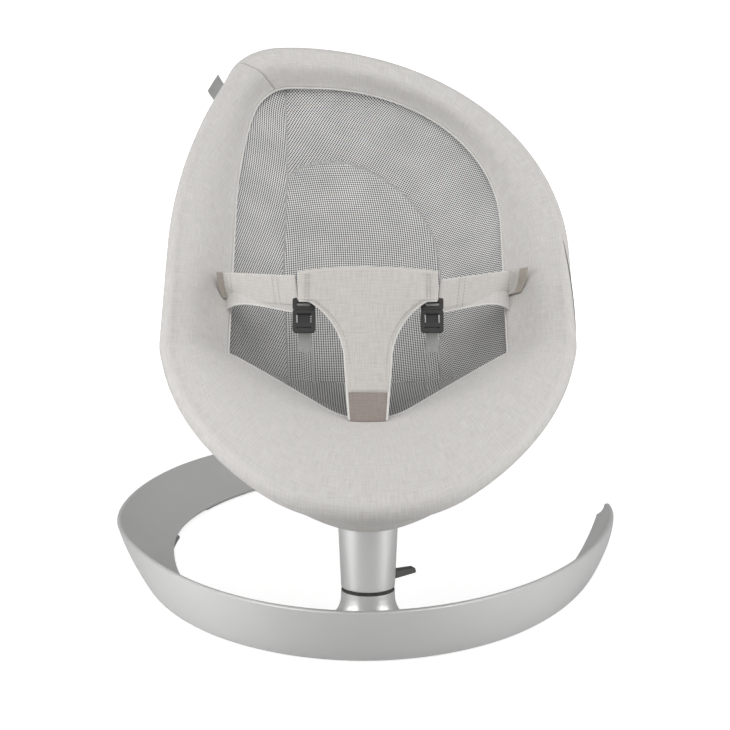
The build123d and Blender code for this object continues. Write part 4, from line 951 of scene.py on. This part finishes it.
# waist straps, wings of cloth behind them and the loops at the buckles
strap = dict(
    start=(69, -40, 82), end=(145.4, 81.6, 41.8), half=14.6, thick=1.7, clear=0.3, rows=90,
    sleeveEnd=0.95, tapeStart=0.8, tapeThick=0.9, tapeLift=1.1, stitchRows=(0.22, 0.28, 0.84),
    lower=dict(Left=7.0, Right=11.0), ends=dict(Left=(216.5, 287), Right=(527, 282.5)),
)
wing = dict(high=18, low=17, flare=15, tipDrop=26, tipHalf=5, behind=4.6, thick=1.8, pipe=1.1)
buckle = dict(
    x=62, step=-6.8, slot=116.3, half=6.3, thick=0.8, tailThick=0.6,
    tail=[(92.5, 2.2), (92.5, -2.8), (91.2, -4.7), (87, -5.0), (78, -5.4), (70, -7.0)],
)
for side, hand in ((-1, "Left"), (1, "Right")):
    start = foldPoint + np.array([side * strap["start"][0], *strap["start"][1:]])
    target = foldPoint + np.array([side * strap["end"][0], *strap["end"][1:]])
    near = int(np.argmin(np.linalg.norm(hemLoop - target, axis=1)))
    rowNormal = unitRows(upLoop[near : near + 1])[0]
    spots = inPicture(borderPoints[:, crownFirst:skin])
    fromEnd = np.linalg.norm(spots - strap["ends"][hand], axis=-1)
    row, column = np.unravel_index(np.argmin(fromEnd), fromEnd.shape)
    column = crownFirst + column
    last = borderPoints[row, column] + borderNormal[row, column] * (strap["thick"] + strap["clear"])
    patch = np.arange(row - 30, row + 31)
    under = borderPoints[patch, crownFirst - 4 : skin].reshape(-1, 3)
    underNormal = borderNormal[patch, crownFirst - 4 : skin].reshape(-1, 3)

    def settle(points, lift=strap["thick"] + 0.25, under=under, underNormal=underNormal):
        # points below the border's skin move out along its normal until they lie on it
        flat = points.reshape(-1, 3)
        nearest = np.argmin(np.linalg.norm(flat[:, None] - under[None], axis=2), 1)
        above = np.einsum("ij,ij->i", flat - under[nearest], underNormal[nearest])
        close = np.linalg.norm(flat - under[nearest], axis=1) < 14
        push = np.where(close, np.clip(lift - above, 0, 9), 0)[:, None]
        return (push * underNormal[nearest]).reshape(points.shape)

    first = start - np.array([0, 0, strap["lower"][hand]])
    sight = np.array([inPicture(first), strap["ends"][hand]])
    hemRow = int(np.argmin(lineDistance(inPicture(borderPoints[:, hemColumn]), sight)))
    hemTop = borderNormal[hemRow, hemColumn - 2] * (strap["thick"] + strap["clear"])
    hemTop = borderPoints[hemRow, hemColumn] + hemTop
    path = evenPoints(np.array([first, hemTop, last]), np.linspace(0, 1, strap["rows"]))
    path = smoothRun(path, 7.0)
    along = unitRows((path[40] - path[0])[None])[0]
    upright = np.array([0, 0, 1.0]) - along * along[2]
    upright = upright / np.linalg.norm(upright)
    rimWay = unitRows(hemLoop[near + 6] - hemLoop[near - 6][None])[0]
    rimWay = rimWay * np.sign(rimWay[2])
    widthWay = np.broadcast_to(upright, path.shape)
    cut = int(strap["rows"] * strap["sleeveEnd"])
    sleeve, face, wide = ribbonMesh(
        "waistStrap" + hand, path[:cut], widthWay[:cut], strap["half"], strap["thick"], strapLinen,
        settle=settle, slanted=True,
    )
    sewn(sleeve)
    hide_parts("waist_strap_" + hand.lower())
    tapePath = path[int(strap["rows"] * strap["tapeStart"]) :]
    tapeHalf = strap["half"] + strap["clear"]
    tape, _, _ = ribbonMesh(
        "strapTape" + hand, tapePath, widthWay[: len(tapePath)], tapeHalf, strap["tapeThick"], tanTape,
        settle=lambda points: settle(points, strap["tapeLift"]), slanted=True,
    )
    sewn(tape)
    lines = []
    for share in strap["stitchRows"]:
        row = int(share * strap["rows"])
        lift = face[row] * np.sign(np.dot(face[row], np.array([0, -0.7, 0.7]))) * (strap["thick"] + 0.12)
        lines.append(path[row] + lift + wide[row] * np.linspace(-0.88, 0.88, 9)[:, None] * strap["half"])
    centres = np.concatenate(lines)
    ways = np.repeat([wide[int(s * strap["rows"])] for s in strap["stitchRows"]], 9, axis=0)
    stitches = stitchMesh(
        "strapStitches" + hand, centres, ways, stitch["length"], stitch["radius"], threadLinen
    )
    sewn(stitches)

    # wing: straight rulings from the hem of the border to the clip; the lower edge flares into the hem
    s = np.linspace(0, 1, 60)[:, None]
    r = np.linspace(0, 1, 26)
    root = borderPoints[near, hemColumn] - rowNormal * 0.8
    tip = start - upright * wing["tipDrop"] + np.cross(along, upright) * side * -wing["behind"]
    low = (root - rimWay * wing["low"]) * (1 - s) + (tip - upright * wing["tipHalf"]) * s
    low = low - rimWay * wing["flare"] * (1 - s) ** 7
    high = (root + rimWay * wing["high"]) * (1 - s) + (tip + upright * wing["tipHalf"]) * s
    grid = low[:, None] * (1 - r)[None, :, None] + high[:, None] * r[None, :, None]
    hipWing = gridMesh("hipWing" + hand, grid, openMap(grid), linenCover)
    thicken(hipWing, wing["thick"])
    sewn(hipWing)
    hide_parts("hip_wing_" + hand.lower())
    wingPipe = tubeMesh("wingPiping" + hand, low, wing["pipe"], paleBinding, sides=8)
    sewn(wingPipe)

    # webbing: a loop through the clip's slot, and a tail out through the body's slot and down behind it
    slot = padFoot + xAxis * side * buckle["x"] + padUp * buckle["slot"] + padOut * buckle["step"]
    loop = np.array([
        tip,
        tip * 0.4 + slot * 0.6 + padOut * -5.0,
        slot + padOut * -4.6 + padUp * 3,
        slot + padUp * 1.0,
        slot + padOut * 4.4 - padUp * 2,
    ])
    loop = smoothRun(evenPoints(loop, np.linspace(0, 1, 40)), 2.5)
    acrossWay = np.broadcast_to(xAxis, loop.shape)
    loopPiece, _, _ = ribbonMesh(
        "clipLoop" + hand, loop, acrossWay, buckle["half"], buckle["thick"], greyWebbing, sides=20
    )
    sewn(loopPiece)
    tailUp, tailOut = np.array(buckle["tail"]).T
    tailPath = onPad(np.full(len(tailUp), side * buckle["x"]), tailUp, tailOut + buckle["step"])
    tailPath = smoothRun(evenPoints(tailPath, np.linspace(0, 1, 40)), 1.0)
    tailPiece, _, _ = ribbonMesh(
        "buckleTail" + hand, tailPath, acrossWay, buckle["half"], buckle["tailThick"], greyWebbing, sides=20
    )
    sewn(tailPiece, "buckle_" + hand.lower())
print("straps and wings done")

# patch over the outer wall of the broad arm, where the hollow under the casting breaks through it
ringPatch = dict(
    centre=-4.0, turn=(112, 130), height=(3.0, 12.0), fade=(3.0, 1.4), proud=0.4, sunk=0.35, thick=1.5,
    footHeight=2.5, footRadius=243.5, lean=1.1, curve=0.017, fall=0.08,
)


def ringPatchGrid():
    # wall radius: a parabola of the height, falling evenly with the angle; the edges sink into the wall
    turn = np.linspace(*ringPatch["turn"], 60)[:, None]
    height = np.linspace(*ringPatch["height"], 24)[None, :]
    rise = height - ringPatch["footHeight"]
    window = 1.0
    spans = ringPatch["turn"], ringPatch["height"]
    for values, (low, high), fade in zip((turn, height), spans, ringPatch["fade"]):
        window = window * smoothStep(low, low + fade, values) * smoothStep(high, high - fade, values)
    radius = ringPatch["footRadius"] + ringPatch["lean"] * rise - ringPatch["curve"] * rise**2
    radius = radius - ringPatch["fall"] * (turn - ringPatch["turn"][0])
    radius = radius - ringPatch["sunk"] + (ringPatch["sunk"] + ringPatch["proud"]) * window
    way = np.radians(turn)
    return np.stack([ringPatch["centre"] + radius * np.cos(way), radius * np.sin(way), height + 0 * turn], -1)


patchPoints = ringPatchGrid()
wallPatch = gridMesh("wallPatch", patchPoints, openMap(patchPoints), silverPaint)
thicken(wallPatch, ringPatch["thick"], -1.0)
sewn(wallPatch, "base")
print("wall patch done")

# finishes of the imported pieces
nodeFinish = {
    silverPaint: ["base_ring", "stalk_sleeve"],
    rawCasting: ["tilt_bracket", "seat_hub"],
    coatedTube: ["upper_hoop", "lower_hoop", "back_bar", "spine", "front_strut"],
    plainSteel: [
        "spindle", "spindle_bolt", "bolt_washer", "thrust_washer", "stop_washer", "spindle_cap_screw",
        "bracket_screws", "tilt_pin", "pin_clips",
    ],
    palePlastic: [
        "lower_bush", "upper_bush", "tilt_bushes", "lever_retainer", "rim_elbow_left", "rim_elbow_right",
    ],
    darkRubber: ["pivot_seal", "brake_pad"],
    greyRubber: ["foot_pads"],
    leverPlastic: ["lock_lever", "recline_knob"],
    blackPlastic: ["buckle_clip_left", "buckle_clip_right", "buckle_body_left", "buckle_body_right"],
    harnessLinen: ["crotch_pad", "waist_strap_left", "waist_strap_right", "hip_wing_left", "hip_wing_right"],
    tagRibbon: ["label_tag"],
}
for material, names in nodeFinish.items():
    for name in names:
        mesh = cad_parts[name].data
        mesh.materials.clear()
        mesh.materials.append(material)
print("packed pieces painted")

# floor, light and camera
stage = dict(floorSize=12.0, floorTone=0.47, glowNear=0.75, glowFar=1.0, glowRadii=(0.4, 1.2), fill=0.3)
floorMesh = bpy.data.meshes.new("floor")
half = stage["floorSize"] / 2
floorCorners = [(-half, -half, 0), (half, -half, 0), (half, half, 0), (-half, half, 0)]
floorMesh.from_pydata(floorCorners, [], [(0, 1, 2, 3)])
floor = bpy.data.objects.new("floor", floorMesh)
bpy.context.scene.collection.objects.link(floor)


def floorMaterial():
    # a matt floor that the camera sees mostly as white, with the object's shadow kept
    material, tree, shader = newMaterial("paleFloor")
    shader.inputs["Base Color"].default_value = (*[stage["floorTone"]] * 3, 1)
    shader.inputs["Roughness"].default_value = 1.0
    shader.inputs["Specular IOR Level"].default_value = 0.0
    glow = addNode(tree, "ShaderNodeEmission")
    rays = addNode(tree, "ShaderNodeLightPath")
    summed = addNode(tree, "ShaderNodeAddShader")
    coords = addNode(tree, "ShaderNodeTexCoord")
    far = addNode(tree, "ShaderNodeVectorMath", operation="LENGTH")
    tree.links.new(coords.outputs["Object"], far.inputs[0])
    fade = addNode(tree, "ShaderNodeMapRange", interpolation_type="SMOOTHSTEP")
    limits = (*stage["glowRadii"], stage["glowNear"], stage["glowFar"])
    for label, value in zip(("From Min", "From Max", "To Min", "To Max"), limits):
        fade.inputs[label].default_value = value
    tree.links.new(far.outputs["Value"], fade.inputs["Value"])
    strength = mathNode(tree, "MULTIPLY", rays.outputs["Is Camera Ray"], fade.outputs["Result"])
    tree.links.new(strength, glow.inputs["Strength"])
    tree.links.new(shader.outputs[0], summed.inputs[0])
    tree.links.new(glow.outputs[0], summed.inputs[1])
    tree.links.new(summed.outputs[0], tree.nodes["Material Output"].inputs["Surface"])
    return material


floorMesh.materials.append(floorMaterial())

world = bpy.data.worlds.new("studio")
bpy.context.scene.world = world
world.use_nodes = True
sky = world.node_tree
backdrop = sky.nodes["Background"]
backdrop.inputs["Color"].default_value = (1, 1, 1, 1)
rays = addNode(sky, "ShaderNodeLightPath")
strength = mathNode(sky, "MULTIPLY_ADD", rays.outputs["Is Camera Ray"], 1 - stage["fill"], stage["fill"])
sky.links.new(strength, backdrop.inputs["Strength"])

lamps = dict(
    overhead=dict(kind="AREA", place=(0, -0.3, 2.4), aim=(0, 0, 0.2), size=2.4, power=32),
    left=dict(kind="AREA", place=(-1.45, -0.62, 0.45), aim=(0, 0, 0.0), size=1.0, power=15),
    right=dict(kind="AREA", place=(1.45, -0.62, 0.45), aim=(0, 0, 0.0), size=1.0, power=13),
    front=dict(kind="AREA", place=(-0.6, -2.6, 1.6), aim=(0, 0, 0.3), size=1.8, power=3),
    ringLeft=dict(kind="SPOT", place=(-0.62, -0.62, 0.26), aim=(-0.23, -0.23, 0.02), spread=38, power=9),
    ringRight=dict(kind="SPOT", place=(0.66, -0.6, 0.26), aim=(0.21, -0.25, 0.02), spread=38, power=6),
)
for name, lamp in lamps.items():
    light = bpy.data.lights.new(name, lamp["kind"])
    light.energy = lamp["power"]
    if lamp["kind"] == "AREA":
        light.size = lamp["size"]
    else:
        light.spot_size = radians(lamp["spread"])
        light.spot_blend = 1.0
        light.shadow_soft_size = 0.12
    holder = bpy.data.objects.new(name, light)
    holder.location = lamp["place"]
    toward = np.array(lamp["aim"]) - np.array(lamp["place"])
    holder.rotation_mode = "QUATERNION"
    holder.rotation_quaternion = Vector(toward).to_track_quat("-Z", "Y")
    bpy.context.scene.collection.objects.link(holder)

view = dict(place=(0, -1.92645, 0.92684), elevation=20.2, focalPixels=1980, pixels=730, offset=3)
camera = bpy.data.cameras.new("camera")
camera.sensor_width = 36
camera.lens = 36 * view["focalPixels"] / view["pixels"]
camera.shift_x = -view["offset"] / view["pixels"]
camera.clip_end = 50
eye = bpy.data.objects.new("camera", camera)
eye.location = view["place"]
eye.rotation_euler = (radians(90 - view["elevation"]), 0, 0)
bpy.context.scene.collection.objects.link(eye)
bpy.context.scene.camera = eye
bpy.context.scene.view_settings.view_transform = "Standard"
